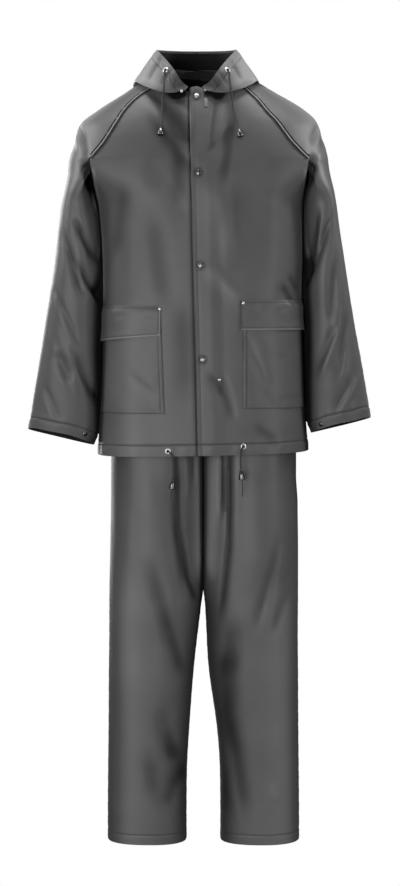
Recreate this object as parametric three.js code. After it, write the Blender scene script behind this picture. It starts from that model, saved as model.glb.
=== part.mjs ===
// Rain suit: a hooded jacket over trousers, hollow as worn, of coated cloth.
// Millimetres, +Z up. The front faces -Y and the wearer's left is +X.
// The origin is between the wearer's shoulders, at the height of the neck.
import * as THREE from 'three';

// Cloth and seams
const wall = 1.5;
const seamGap = 0.3;
const trimLift = 0.3;

// Heights
const armpitZ = -142;
const jacketHemZ = -717;
const crotchZ = -745;
const legHemZ = -1501;
const waistZ = -424;
const casingHeight = 36;

// Middle plane of the trousers: they hang a little to the wearer's left
const trouserMiddle = 5;

// Depth over which a worn shape changes into the one below it
const armholeBlend = 95;
const armholeDip = 22;
const crotchBlend = 130;
const crotchRise = 46;

// Front closing: the line of the snaps leans, and the wearer's left front laps over
const closing = { topX: -9, topZ: -12, bottomX: 8, bottomZ: -717, overlap: 14 };
const lapWidth = 26;
const lapGap = 1.7;

// Cords and metal
const cordRadius = 1.7;
const cordSides = 8;
const snapRadius = 5.4;
const rivetRadius = 3;
const eyeletRadius = 6;
const eyeletHole = 2.6;

// A table has named columns and a row for each height or place
function table(columns, rows) {
  const names = columns.split(' ');
  return rows.map((row) => Object.fromEntries(names.map((name, i) => [name, row[i]])));
}

// Middle plane of the jacket at each height: it leans a little to the wearer's left
const lean = table('z x', [
  [-730, 4],
  [-320, 3],
  [armpitZ, -4],
  [30, -4],
]);

// Shoulders and sleeve heads as level sections, one rounded outline at each height
const yoke = table('z halfWidth front back power', [
  [armpitZ, 254, 148, 145, 3.0],
  [-118, 251, 143, 143, 2.8],
  [-91, 246, 136, 139, 2.5],
  [-70, 239, 127, 134, 2.3],
  [-54, 227, 119, 129, 2.1],
  [-31, 196, 104, 119, 2.0],
  [-7, 154, 84, 106, 2.0],
  [12, 121, 64, 92, 2.1],
  [30, 80, 40, 72, 2.2],
]);

// Jacket body below the armpits
const torso = table('z halfWidth front back power', [
  [-730, 212, 160, 152, 2.8],
  [-690, 208, 160, 150, 2.8],
  [-600, 202, 160, 146, 2.8],
  [-450, 198, 160, 142, 2.8],
  [-320, 199, 158, 144, 2.8],
  [-232, 203, 154, 146, 2.8],
  [armpitZ, 211, 148, 145, 3.0],
]);

// Raglan seams: distance from the middle plane, on the wearer's right and left
const frontRaglan = table('z right left', [
  [armpitZ, 211, 210],
  [-110, 184, 180],
  [-71, 160, 152],
  [-50, 147, 133],
  [-27, 127, 115],
  [-6, 102, 94],
  [8, 84, 80],
]);
const backRaglan = table('z right left', [
  [armpitZ, 211, 211],
  [-110, 184, 184],
  [-70, 156, 156],
  [-30, 116, 116],
  [0, 84, 84],
  [28, 56, 56],
]);

// Sleeve below the armpit: clear of the body by a small space, tilted like the cuff
const sleeve = table('z clear outer middleY halfDepth power tilt', [
  [-690, 2.2, 341, -30, 47, 2.2, 0.25],
  [-640, 2.0, 335, -28, 54, 2.3, 0.22],
  [-560, 3.4, 323, -25, 66, 2.4, 0.17],
  [-450, 4.6, 306.5, -19, 81, 2.5, 0.11],
  [-380, 2.2, 296.5, -15, 90, 2.5, 0.07],
  [-300, 1.6, 286, -10, 96, 2.6, 0.04],
  [-220, 1.6, 273, -3, 101, 2.7, 0.02],
  [armpitZ, 2, 258, 0, 104, 3.0, 0],
]);
const cuffZ = { right: -690, left: -668 };

// Trouser leg: distances of its inner and outer sides from the trousers' middle plane
const leg = table('z inner outer front back power', [
  [legHemZ, 34, 190, 74, 86, 2.5],
  [-1440, 34, 190, 79, 91, 2.5],
  [-1357, 33, 189, 85, 97, 2.6],
  [-1285, 29, 188, 92, 103, 2.6],
  [-1171, 19, 187, 103, 111, 2.7],
  [-1100, 12, 186, 109, 116, 2.8],
  [-1039, 5.5, 186, 117, 121, 2.9],
  [-1003, 2.2, 186, 119, 123, 3.0],
  [-900, 1.6, 185, 122, 128, 3.0],
  [-800, 1.6, 184, 125, 134, 3.0],
  [crotchZ, 1.6, 184, 126, 138, 3.0],
]);

// Trousers above the crotch. The seat lies against the inside of the jacket's back.
const seatZ = -650;
const seatBack = along(torso, 'back', seatZ) - wall - seamGap;
const hips = table('z halfWidth front back power', [
  [crotchZ, 184, 126, 138, 2.8],
  [seatZ, 181, 126, seatBack, 2.6],
  [-560, 175, 122, 131, 2.5],
  [-470, 160, 112, 108, 2.4],
  [waistZ, 150, 105, 98, 2.3],
]);

// Hood: from the neck seam it rolls over the shoulders to a fold, then up to its open edge.
// neckAt runs round the neck: 0 front, 1 front seam, 2 shoulder, 3 back seam, 4 back. foldX and
// edgeX are distances from the hood's middle plane. face is -1 in front and 1 behind.
const hoodMiddle = -9;
const hood = table('at face neckAt foldX foldZ foldOut belly edgeX edgeY edgeZ', [
  [0, -1, 0.12, 12, -21, 10, 0, 11, -102, -3],
  [1, -1, 0.4, 40, -24, 15, 1, 27, -100, 9],
  [2, -1, 0.7, 66, -13, 17, 2, 43, -88, 31],
  [3, -1, 1.1, 90, 0, 13, 2, 60, -64, 54],
  [4, -1, 1.8, 109, 16, 9, 3, 77, -22, 76],
  [5, 1, 2.7, 112, 0, 11, 5, 74, 30, 82],
  [6, 1, 3.4, 80, -56, 13, 18, 46, 72, 85],
  [7, 1, 4, 0, -90, 14, 28, 0, 90, 86],
]);

// Main folds of each cloth, as soft troughs from one end to the other
const foldColumns = 'x0 z0 x1 z1 width depth';
const bodyFolds = table(foldColumns, [
  [88, -486, 128, -575, 12, 3],
  [-60, -60, -95, -190, 22, 4],
  [70, -50, 100, -170, 24, 4],
]);
const backFolds = table(foldColumns, [
  [-110, -120, -60, -300, 26, 6],
  [115, -130, 70, -290, 24, 6],
  [-20, -420, 30, -640, 28, 4],
]);
const rightSleeveFolds = table(foldColumns, [
  [-226, -140, -212, -240, 12, 8],
  [-244, -267, -205, -338, 12, 8],
  [-269, -299, -234, -397, 12, 7],
  [-236, -353, -191, -420, 12, 8],
  [-283, -524, -259, -568, 12, 6],
  [-244, -534, -209, -613, 12, 6],
]);
const leftSleeveFolds = table(foldColumns, [
  [222, -133, 211, -190, 12, 8],
  [226, -255, 205, -371, 12, 8],
  [250, -267, 209, -375, 12, 8],
  [263, -347, 259, -444, 12, 7],
  [289, -454, 279, -543, 12, 6],
]);
const trouserFolds = table(foldColumns, [
  [-42, -728, -33, -910, 14, 8],
  [-33, -910, -10, -1000, 13, 7],
  [51, -734, 51, -885, 14, 8],
  [51, -885, 33, -1037, 13, 7],
  [-88, -955, -58, -1080, 16, 7],
  [-58, -1080, -31, -1147, 15, 6],
  [-68, -1275, -47, -1324, 15, 7],
  [-96, -1338, -88, -1393, 14, 6],
  [-47, -1366, -68, -1415, 14, 6],
  [147, -896, 110, -1047, 15, 7],
  [167, -936, 142, -1059, 14, 7],
  [68, -1104, 57, -1228, 16, 7],
  [57, -1228, 84, -1421, 15, 7],
]);
const seatFolds = table(foldColumns, [
  [-58, -785, -122, -905, 20, 7],
  [70, -790, 125, -910, 20, 8],
  [-102, -1126, -62, -1234, 18, 6],
  [110, -1160, 75, -1270, 18, 7],
  [-110, -1330, -140, -1430, 16, 6],
]);

// Smooth value of one column at a height, or at a row's place when no key is given
function along(rows, name, at, key = 'z') {
  const list = rows[0][key] < rows[rows.length - 1][key] ? rows : [...rows].reverse();
  const last = list.length - 1;
  let i = 0;
  while (i < last - 1 && at > list[i + 1][key]) i += 1;
  const a = list[i];
  const b = list[i + 1];
  const span = b[key] - a[key];
  const t = THREE.MathUtils.clamp((at - a[key]) / span, 0, 1);
  const before = list[Math.max(0, i - 1)];
  const after = list[Math.min(last, i + 2)];
  const slopeA = span * (b[name] - before[name]) / (b[key] - before[key]);
  const slopeB = span * (after[name] - a[name]) / (after[key] - a[key]);
  const t2 = t * t;
  const t3 = t2 * t;
  return (2 * t3 - 3 * t2 + 1) * a[name] + (t3 - 2 * t2 + t) * slopeA
    + (3 * t2 - 2 * t3) * b[name] + (t3 - t2) * slopeB;
}

function mix(a, b, t) {
  return a + (b - a) * t;
}

function smooth(t) {
  const s = THREE.MathUtils.clamp(t, 0, 1);
  return s * s * (3 - 2 * s);
}

// Depth of all folds at a place of the front view. Each is deepest in its middle.
function foldDepth(folds, x, z) {
  let depth = 0;
  for (const fold of folds) {
    const lengthX = fold.x1 - fold.x0;
    const lengthZ = fold.z1 - fold.z0;
    const length = Math.hypot(lengthX, lengthZ);
    const t = ((x - fold.x0) * lengthX + (z - fold.z0) * lengthZ) / (length * length);
    const aside = ((x - fold.x0) * lengthZ - (z - fold.z0) * lengthX) / length;
    const taper = smooth((t + 0.25) / 0.5) * smooth((1.25 - t) / 0.5);
    depth += fold.depth * taper * Math.exp(-((aside / fold.width) ** 2));
  }
  return depth;
}

// Point of a rounded level section: angle 0 is the side and 90 the middle of front or back
function sectionPoint(halfWidth, depth, power, angle) {
  const radians = THREE.MathUtils.degToRad(angle);
  const across = halfWidth * Math.max(0, Math.cos(radians)) ** (2 / power);
  const deep = depth * Math.max(0, Math.sin(radians)) ** (2 / power);
  return [across, deep];
}

// Angle at which a section reaches a given distance from the middle plane
function sectionAngle(halfWidth, power, across) {
  const share = Math.min(1, Math.abs(across) / halfWidth);
  return THREE.MathUtils.radToDeg(Math.acos(share ** (power / 2)));
}

function jacketMiddle(z) {
  return along(lean, 'x', z);
}

// Point on the shoulders. side is -1 for the wearer's right, face -1 for the front.
function yokePoint(side, face, angle, z) {
  const depthName = face < 0 ? 'front' : 'back';
  const [across, deep] = sectionPoint(
    along(yoke, 'halfWidth', z), along(yoke, depthName, z), along(yoke, 'power', z), angle);
  return new THREE.Vector3(jacketMiddle(z) + side * across, face * deep, z);
}

function yokeAngle(across, z) {
  return sectionAngle(along(yoke, 'halfWidth', z), along(yoke, 'power', z), across);
}

function raglanAcross(side, face, z) {
  return along(face < 0 ? frontRaglan : backRaglan, side < 0 ? 'right' : 'left', z);
}

// Line of the snaps, and the edges on either side of it
function closingX(z) {
  return mix(closing.topX, closing.bottomX, (z - closing.topZ) / (closing.bottomZ - closing.topZ));
}

// How far the upper front is lifted over the under front near the closing
function lapLift(x, z) {
  const from = closingX(z) + closing.overlap + 2;
  return (wall + lapGap) * (1 - smooth((x - from) / lapWidth));
}

// The body is widest a little behind the middle, so that the sleeves hang before it
const widestY = 22;

// Point of the jacket body. column runs from the middle (0) over the raglan column to the
// side seam (1 + 1 = 2); between 0 and 1 it follows x, between 1 and 2 the section's angle.
function torsoPoint(side, face, column, z, middleX) {
  const depthName = face < 0 ? 'front' : 'back';
  const corner = raglanAcross(side, face, armpitZ);
  const under = 1 - smooth((armpitZ - z) / armholeBlend);
  const halfWidth = along(torso, 'halfWidth', z);
  const depth = along(torso, depthName, z);
  const power = along(torso, 'power', z);
  const cornerAcross = Math.min(0.9 * halfWidth, corner);
  const cornerAngle = sectionAngle(halfWidth, power, cornerAcross);
  const start = side * (middleX - jacketMiddle(z));
  const yokeWide = along(yoke, 'halfWidth', armpitZ);
  const yokePower = along(yoke, 'power', armpitZ);
  const yokeDepth = along(yoke, depthName, armpitZ);
  let across;
  let deep;
  let topAcross;
  let topDeep;
  if (column <= 1) {
    across = mix(start, cornerAcross, column);
    deep = sectionPoint(halfWidth, depth, power, sectionAngle(halfWidth, power, across))[1];
    topAcross = mix(start, corner, column);
    topDeep = sectionPoint(yokeWide, yokeDepth, yokePower,
      sectionAngle(yokeWide, yokePower, topAcross))[1];
  } else {
    const turn = column - 1;
    [across, deep] = sectionPoint(halfWidth, depth, power, mix(cornerAngle, 0, turn));
    const cornerDeep = sectionPoint(yokeWide, yokeDepth, yokePower,
      sectionAngle(yokeWide, yokePower, corner))[1];
    topAcross = mix(corner, along(torso, 'halfWidth', armpitZ), smooth(turn));
    topDeep = cornerDeep * (1 - turn);
  }
  const x = jacketMiddle(z) + side * mix(across, topAcross, under);
  const y = widestY * (1 - under) * (1 - deep / depth) + face * mix(deep, topDeep, under);
  const dip = column > 1 ? armholeDip * Math.sin((column - 1) * Math.PI / 2) * under : 0;
  return new THREE.Vector3(x, y, z - dip);
}

// Point of a sleeve ring. turn runs 0 at the underarm seam, 1 at the front corner, 2 at the
// outer seam, 3 at the back corner and 4 at the underarm seam again.
function sleevePoint(side, turn, z) {
  const blend = 1 - smooth((armpitZ - z) / armholeBlend);
  const bodyWide = along(torso, 'halfWidth', Math.max(z, -730));
  const inner = bodyWide + along(sleeve, 'clear', z);
  const outer = along(sleeve, 'outer', z) - side * jacketMiddle(z);
  const halfWidth = (outer - inner) / 2;
  const middle = (outer + inner) / 2;
  const angle = turn * 90;
  const face = turn <= 2 ? -1 : 1;
  const fromSide = turn <= 2 ? Math.abs(angle) : 360 - angle;
  const isInner = fromSide <= 90;
  const local = isInner ? fromSide : 180 - fromSide;
  const [across, deep] = sectionPoint(
    halfWidth, along(sleeve, 'halfDepth', z), along(sleeve, 'power', z), local);
  const ringAcross = middle + (isInner ? -across : across);
  const ringY = along(sleeve, 'middleY', z) + face * deep;

  const corner = raglanAcross(side, face, armpitZ);
  const cornerAngle = yokeAngle(corner, armpitZ);
  const cornerDeep = Math.abs(yokePoint(side, face, cornerAngle, armpitZ).y);
  const share = fromSide / 90;
  let topAcross;
  let topDeep;
  if (isInner) {
    topAcross = mix(along(torso, 'halfWidth', armpitZ) + 2 * seamGap, corner, smooth(share));
    topDeep = cornerDeep * share;
  } else {
    const head = yokePoint(side, face, mix(cornerAngle, 0, share - 1), armpitZ);
    topAcross = Math.abs(head.x - jacketMiddle(armpitZ));
    topDeep = Math.abs(head.y);
  }
  const dip = isInner ? armholeDip * Math.cos(share * Math.PI / 2) * blend : 0;
  const acrossNow = mix(ringAcross, topAcross, blend);
  const tilt = along(sleeve, 'tilt', z);
  const x = jacketMiddle(z) + side * acrossNow;
  const y = mix(ringY, face * topDeep, blend);
  return new THREE.Vector3(x, y, z - dip + tilt * (acrossNow - middle) - 0.6 * tilt * y);
}

// Point of a trouser leg ring, with the same turns as a sleeve: 0 at the inseam
function legPoint(side, turn, z) {
  const blend = 1 - smooth((crotchZ - z) / crotchBlend);
  const inner = along(leg, 'inner', z);
  const outer = along(leg, 'outer', z);
  const halfWidth = (outer - inner) / 2;
  const middle = (outer + inner) / 2;
  const face = turn <= 2 ? -1 : 1;
  const fromSide = turn <= 2 ? turn * 90 : 360 - turn * 90;
  const isInner = fromSide <= 90;
  const depthName = face < 0 ? 'front' : 'back';
  const [across, deep] = sectionPoint(halfWidth, along(leg, depthName, z),
    along(leg, 'power', z), isInner ? fromSide : 180 - fromSide);
  const ringAcross = middle + (isInner ? -across : across);
  const share = fromSide / 90;
  const hipDepth = along(hips, depthName, crotchZ);
  let topAcross;
  let topDeep;
  if (isInner) {
    topAcross = inner;
    topDeep = hipDepth * share;
  } else {
    const angle = mix(sectionAngle(along(hips, 'halfWidth', crotchZ),
      along(hips, 'power', crotchZ), inner), 0, share - 1);
    [topAcross, topDeep] = sectionPoint(along(hips, 'halfWidth', crotchZ), hipDepth,
      along(hips, 'power', crotchZ), angle);
  }
  const rise = isInner ? crotchRise * (1 - Math.cos(share * Math.PI / 2)) : crotchRise * (3 - share - 1);
  const lift = blend * Math.max(0, rise);
  return new THREE.Vector3(
    trouserMiddle + side * mix(ringAcross, topAcross, blend),
    face * mix(deep, topDeep, blend),
    z + lift);
}

// Point of the trousers above the crotch, from the middle seam (1) to the outer seam (2)
function hipPoint(side, turn, z) {
  const face = turn <= 2 ? -1 : 1;
  const share = turn <= 2 ? turn - 1 : 3 - turn;
  const halfWidth = along(hips, 'halfWidth', z);
  const power = along(hips, 'power', z);
  const inner = along(leg, 'inner', crotchZ);
  const angle = mix(sectionAngle(halfWidth, power, inner), 0, share);
  const [across, deep] = sectionPoint(halfWidth, along(hips, face < 0 ? 'front' : 'back', z),
    power, angle);
  return new THREE.Vector3(trouserMiddle + side * across, face * deep, z);
}

// Normals of a grid with holes, from the neighbours that are there, pointing outwards
function gridNormals(points, closed) {
  const rows = points.length;
  const columns = points[0].length;
  const centre = new THREE.Vector3();
  let count = 0;
  points.flat().forEach((p) => {
    if (p) {
      centre.add(p);
      count += 1;
    }
  });
  centre.divideScalar(count);
  const at = (i, j) => {
    if (i < 0 || i >= rows) return null;
    let column = j;
    if (closed && j < 0) column = columns - 2;
    if (closed && j >= columns) column = 1;
    return points[i][column] ?? null;
  };
  let sign = 0;
  const normals = points.map((row, i) => row.map((p, j) => {
    if (!p) return null;
    const right = at(i, j + 1) ?? p;
    const left = at(i, j - 1) ?? p;
    const up = at(i + 1, j) ?? p;
    const down = at(i - 1, j) ?? p;
    const normal = right.clone().sub(left).cross(up.clone().sub(down)).normalize();
    const outward = p.clone().sub(centre);
    outward.z = 0;
    sign += normal.dot(outward);
    return normal;
  }));
  if (sign < 0) normals.flat().forEach((n) => n?.negate());
  return normals;
}

// Closed wall over the cells of a grid that are present. The outer face follows the points,
// the inner face lies one wall inside, and each free edge is drawn in by half the seam gap.
function wallGeometry(points, normals, present, thickness = wall, inset = seamGap / 2) {
  const rows = points.length;
  const columns = points[0].length;
  const has = (i, j) => i >= 0 && j >= 0 && i < rows - 1 && j < columns - 1 && present(i, j);
  const vertices = [];
  const outer = points.map((row) => row.map(() => -1));
  const inner = points.map((row) => row.map(() => -1));
  for (let i = 0; i < rows; i += 1) {
    for (let j = 0; j < columns; j += 1) {
      const rightCells = has(i, j) || has(i - 1, j);
      const leftCells = has(i, j - 1) || has(i - 1, j - 1);
      const upCells = has(i, j) || has(i, j - 1);
      const downCells = has(i - 1, j) || has(i - 1, j - 1);
      if (!rightCells && !leftCells) continue;
      const shift = new THREE.Vector3();
      const towards = (p) => shift.addScaledVector(p.clone().sub(points[i][j]).normalize(), inset);
      if (!leftCells) towards(points[i][j + 1]);
      if (!rightCells) towards(points[i][j - 1]);
      if (!downCells) towards(points[i + 1][j]);
      if (!upCells) towards(points[i - 1][j]);
      const top = points[i][j].clone().add(shift);
      const under = top.clone().addScaledVector(normals[i][j], -thickness);
      outer[i][j] = vertices.length;
      vertices.push(top);
      inner[i][j] = vertices.length;
      vertices.push(under);
    }
  }
  const triangles = [];
  const quad = (a, b, c, d) => triangles.push(a, b, c, a, c, d);
  for (let i = 0; i < rows - 1; i += 1) {
    for (let j = 0; j < columns - 1; j += 1) {
      if (!has(i, j)) continue;
      const corners = [[i, j], [i, j + 1], [i + 1, j + 1], [i + 1, j]];
      quad(...corners.map(([a, b]) => outer[a][b]));
      quad(...corners.map(([a, b]) => inner[a][b]).reverse());
      const beside = [has(i - 1, j), has(i, j + 1), has(i + 1, j), has(i, j - 1)];
      beside.forEach((neighbour, k) => {
        if (neighbour) return;
        const [a, b] = corners[k];
        const [c, d] = corners[(k + 1) % 4];
        quad(outer[c][d], outer[a][b], inner[a][b], inner[c][d]);
      });
    }
  }
  return closedGeometry(vertices, triangles);
}

// Geometry with its faces turned outwards
function closedGeometry(vertices, triangles) {
  let volume = 0;
  for (let i = 0; i < triangles.length; i += 3) {
    const [a, b, c] = [0, 1, 2].map((k) => vertices[triangles[i + k]]);
    volume += a.dot(b.clone().cross(c));
  }
  const index = volume < 0 ? [...triangles].reverse() : triangles;
  const geometry = new THREE.BufferGeometry();
  const position = vertices.flatMap((v) => [v.x, v.y, v.z]);
  geometry.setAttribute('position', new THREE.Float32BufferAttribute(position, 3));
  geometry.setIndex(index);
  return geometry;
}

// Points moved in along their normals by the depth of the folds
function withFolds(points, normals, depthAt) {
  return points.map((row, i) => row.map((p, j) => {
    if (!p) return null;
    return p.clone().addScaledVector(normals[i][j], -depthAt(p, i, j));
  }));
}

const cloth = new THREE.MeshStandardMaterial({ color: 0x5a5a5a, roughness: 0.42, metalness: 0 });
const nickel = new THREE.MeshStandardMaterial({ color: 0xc4c4c4, roughness: 0.2, metalness: 1 });
const cordMaterial = new THREE.MeshStandardMaterial({ color: 0x2b2b2b, roughness: 0.8, metalness: 0 });
const bellMaterial = new THREE.MeshStandardMaterial({ color: 0x3a3a3a, roughness: 0.3, metalness: 0.4 });

const suit = new THREE.Group();

function addPiece(name, geometry, material) {
  const mesh = new THREE.Mesh(geometry, material);
  mesh.name = name;
  suit.add(mesh);
  return mesh;
}

// Rows of the jacket: hem to armpit, then shares of the way from the armpit to the neck
const bodyRows = [jacketHemZ, -680, -635, -590, -540, -490, -440, -390, -340, -290, -250, -215,
  -178, armpitZ];
const neckShares = [0.17, 0.34, 0.51, 0.67, 0.83, 1];
const middleColumns = 7;
const sideColumns = 6;
const hemSlope = 0.02;

// Neck edge heights at the middle, at the raglan seams and over the shoulder
const neck = { front: -12, frontRaglan: 8, shoulder: 29, backRaglan: 28, back: 26 };

// The upper front ends in a small arched tab above the top snap
const tabRise = [4, 9];

function upperZ(topZ, share) {
  return mix(armpitZ, topZ, share);
}

// Front or back body panel of one side as a grid: rows up, columns from the middle outwards
function bodyGrid(side, face, middleX) {
  const columns = middleColumns + sideColumns;
  const seamTop = face < 0 ? neck.frontRaglan : neck.backRaglan;
  const middleTop = face < 0 ? neck.front : neck.back;
  const points = bodyRows.map((z, i) => Array.from({ length: columns + 1 }, (_, j) => {
    const column = j <= middleColumns ? j / middleColumns : 1 + (j - middleColumns) / sideColumns;
    const p = torsoPoint(side, face, column, z, middleX(z));
    if (i === 0) p.z += hemSlope * p.x;
    return p;
  }));
  for (const share of neckShares) {
    const seamZ = upperZ(seamTop, share);
    const middleZ = upperZ(middleTop, share);
    points.push(Array.from({ length: columns + 1 }, (_, j) => {
      if (j > middleColumns) return null;
      const u = j / middleColumns;
      const z = mix(middleZ, seamZ, u * u);
      const start = side * (middleX(z) - jacketMiddle(z));
      const across = mix(start, raglanAcross(side, face, seamZ), u);
      const crossed = across < 0 ? -side : side;
      const p = yokePoint(crossed, face, yokeAngle(across, z), z);
      if (side > 0 && face < 0 && share === 1) p.z += tabRise[j] ?? 0;
      return p;
    }));
  }
  return points;
}

function bodyPresent(i, j) {
  return i < bodyRows.length - 1 || j < middleColumns;
}

// Jacket fronts. The wearer's left front laps over and is lifted near the closing.
const edgeOver = (z) => closingX(z) - closing.overlap;
const edgeUnder = (z) => closingX(z) + closing.overlap;

function makeFront(side) {
  const plain = bodyGrid(side, -1, side > 0 ? edgeOver : edgeUnder);
  const normals = gridNormals(plain, false);
  const points = withFolds(plain, normals, (p) => {
    const lift = side > 0 ? lapLift(p.x, p.z) : 0;
    return foldDepth(bodyFolds, p.x, p.z) - lift;
  });
  return { points, normals };
}

const frontLeft = makeFront(1);
const frontRight = makeFront(-1);
addPiece('jacket_front_left', wallGeometry(frontLeft.points, frontLeft.normals, bodyPresent), cloth);
addPiece('jacket_front_right', wallGeometry(frontRight.points, frontRight.normals, bodyPresent), cloth);

// Jacket back in one piece: the left half's columns run on into the right half's
function makeBack() {
  const left = bodyGrid(1, 1, jacketMiddle);
  const right = bodyGrid(-1, 1, jacketMiddle);
  const plain = left.map((row, i) => [...right[i].slice(1).reverse(), ...row]);
  const normals = gridNormals(plain, false);
  const points = withFolds(plain, normals, (p) => foldDepth(backFolds, p.x, p.z));
  const columns = middleColumns + sideColumns;
  const present = (i, j) => i < bodyRows.length - 1
    || (j >= columns - middleColumns && j < columns + middleColumns);
  return { points, normals, geometry: wallGeometry(points, normals, present) };
}
const back = makeBack();
addPiece('jacket_back', back.geometry, cloth);

// Sleeves: a ring of columns round each, in a front and a back half
const sleeveRows = [cuffZ.right, -650, -600, -550, -500, -450, -400, -350, -300, -255, -215, -178,
  armpitZ];
const cuffSpan = 220;

// Height of a sleeve row: the wearer's left cuff sits higher, and the lowest rows follow it
function sleeveRowZ(side, z) {
  const share = smooth((sleeveRows[0] + cuffSpan - z) / cuffSpan);
  return z + (side > 0 ? (cuffZ.left - cuffZ.right) * share : 0);
}
const innerColumns = 4;
const outerColumns = 6;

function ringTurn(j) {
  const quarter = innerColumns + outerColumns;
  if (j <= innerColumns) return j / innerColumns;
  if (j <= quarter + outerColumns) return 1 + (j - innerColumns) / outerColumns;
  return 3 + (j - quarter - outerColumns) / innerColumns;
}

function makeSleeve(side, folds) {
  const columns = 2 * (innerColumns + outerColumns);
  const plain = sleeveRows.map((z) => Array.from({ length: columns + 1 }, (_, j) => (
    sleevePoint(side, ringTurn(j), sleeveRowZ(side, z)))));
  for (const share of neckShares) {
    plain.push(Array.from({ length: columns + 1 }, (_, j) => {
      const turn = ringTurn(j);
      if (turn < 1 || turn > 3) return null;
      const face = turn <= 2 ? -1 : 1;
      const u = Math.abs(2 - turn);
      const seamZ = upperZ(face < 0 ? neck.frontRaglan : neck.backRaglan, share);
      const z = mix(upperZ(neck.shoulder, share), seamZ, u * u);
      const seamAngle = yokeAngle(raglanAcross(side, face, seamZ), seamZ);
      return yokePoint(side, face, seamAngle * u, z);
    }));
  }
  const normals = gridNormals(plain, true);
  const points = withFolds(plain, normals, (p, i, j) => {
    const turn = ringTurn(j);
    const share = turn > 0.3 && turn < 2 ? 1 : 0;
    return share * smooth((2 - turn) / 0.4) * foldDepth(folds, p.x, p.z);
  });
  const half = (first, last) => (i, j) => {
    if (j < first || j >= last) return false;
    return i < sleeveRows.length - 1 || (j >= innerColumns && j < columns - innerColumns);
  };
  const middle = columns / 2;
  return {
    points,
    normals,
    front: wallGeometry(points, normals, half(0, middle)),
    back: wallGeometry(points, normals, half(middle, columns)),
  };
}

const sleeveRight = makeSleeve(-1, rightSleeveFolds);
const sleeveLeft = makeSleeve(1, leftSleeveFolds);
addPiece('sleeve_right_front', sleeveRight.front, cloth);
addPiece('sleeve_right_back', sleeveRight.back, cloth);
addPiece('sleeve_left_front', sleeveLeft.front, cloth);
addPiece('sleeve_left_back', sleeveLeft.back, cloth);

// Trousers: leg rings below the crotch, hip rows above it
const legRows = [legHemZ, -1452, -1398, -1340, -1280, -1215, -1145, -1075, -1006, -942, -882, -828,
  -782, crotchZ];
const hipRows = [-660, -610, -560, -510, waistZ - casingHeight];

function makeLeg(side) {
  const columns = 2 * (innerColumns + outerColumns);
  const plain = legRows.map((z) => Array.from({ length: columns + 1 }, (_, j) => (
    legPoint(side, ringTurn(j), z))));
  for (const z of hipRows) {
    plain.push(Array.from({ length: columns + 1 }, (_, j) => {
      const turn = ringTurn(j);
      return turn < 1 || turn > 3 ? null : hipPoint(side, turn, z);
    }));
  }
  const normals = gridNormals(plain, true);
  const points = withFolds(plain, normals, (p, i, j) => {
    const turn = ringTurn(j);
    const away = smooth(Math.min(turn, Math.abs(turn - 2), 4 - turn) / 0.5);
    const list = turn <= 2 ? trouserFolds : seatFolds;
    return away * smooth((crotchZ + 30 - p.z) / 60) * foldDepth(list, p.x, p.z);
  });
  const half = (first, last) => (i, j) => {
    if (j < first || j >= last) return false;
    return i < legRows.length - 1 || (j >= innerColumns && j < columns - innerColumns);
  };
  const middle = columns / 2;
  return {
    front: wallGeometry(points, normals, half(0, middle)),
    back: wallGeometry(points, normals, half(middle, columns)),
  };
}

for (const [side, name] of [[-1, 'right'], [1, 'left']]) {
  const one = makeLeg(side);
  addPiece(`trouser_${name}_front`, one.front, cloth);
  addPiece(`trouser_${name}_back`, one.back, cloth);
}

// Waist casing: a band that closes the top of the trousers, drawn up in small gathers.
// Its ends meet at the back seam.
const casing = { gathers: 18, depth: 2, columns: 72, thickness: 2.5 };

function makeWaistCasing() {
  const heights = [waistZ - casingHeight + 0.8, waistZ - casingHeight / 2, waistZ];
  const points = heights.map((z) => Array.from({ length: casing.columns + 1 }, (_, j) => {
    const turn = 360 * j / casing.columns;
    const face = turn < 90 || turn > 270 ? 1 : -1;
    const side = turn < 180 ? 1 : -1;
    const angle = Math.abs(90 - (turn > 180 ? turn - 180 : turn));
    const gather = casing.depth * Math.cos(casing.gathers * THREE.MathUtils.degToRad(turn));
    const depthName = face > 0 ? 'back' : 'front';
    const [across, deep] = sectionPoint(along(hips, 'halfWidth', z) + gather,
      along(hips, depthName, z) + gather, along(hips, 'power', z), angle);
    return new THREE.Vector3(trouserMiddle + side * across, face * deep, z);
  }));
  const normals = gridNormals(points, true);
  return wallGeometry(points, normals, () => true, casing.thickness);
}
addPiece('waist_casing', makeWaistCasing(), cloth);

// Hood: for each place round the neck, a curve from the neck seam over the fold to the edge
const neckRise = 1.3;
const rollOut = 11;
const rollUp = 8;

// The under front's hood half ends further out, clear of the arched tab
const throatShift = { neckAt: 0.16, across: 5, rows: 2 };

// Point of the jacket's neck edge, at 0 in front, 1 front seam, 2 shoulder, 3 back seam, 4 back
function neckEdge(side, at) {
  if (at < 1 || at > 3) {
    const face = at < 1 ? -1 : 1;
    const u = at < 1 ? at : 4 - at;
    const seamZ = face < 0 ? neck.frontRaglan : neck.backRaglan;
    const z = mix(face < 0 ? neck.front : neck.back, seamZ, u * u);
    const across = raglanAcross(side, face, seamZ) * u;
    return yokePoint(side, face, yokeAngle(across, z), z);
  }
  const face = at <= 2 ? -1 : 1;
  const u = Math.abs(2 - at);
  const seamZ = face < 0 ? neck.frontRaglan : neck.backRaglan;
  const z = mix(neck.shoulder, seamZ, u * u);
  return yokePoint(side, face, yokeAngle(raglanAcross(side, face, seamZ), seamZ) * u, z);
}

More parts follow.
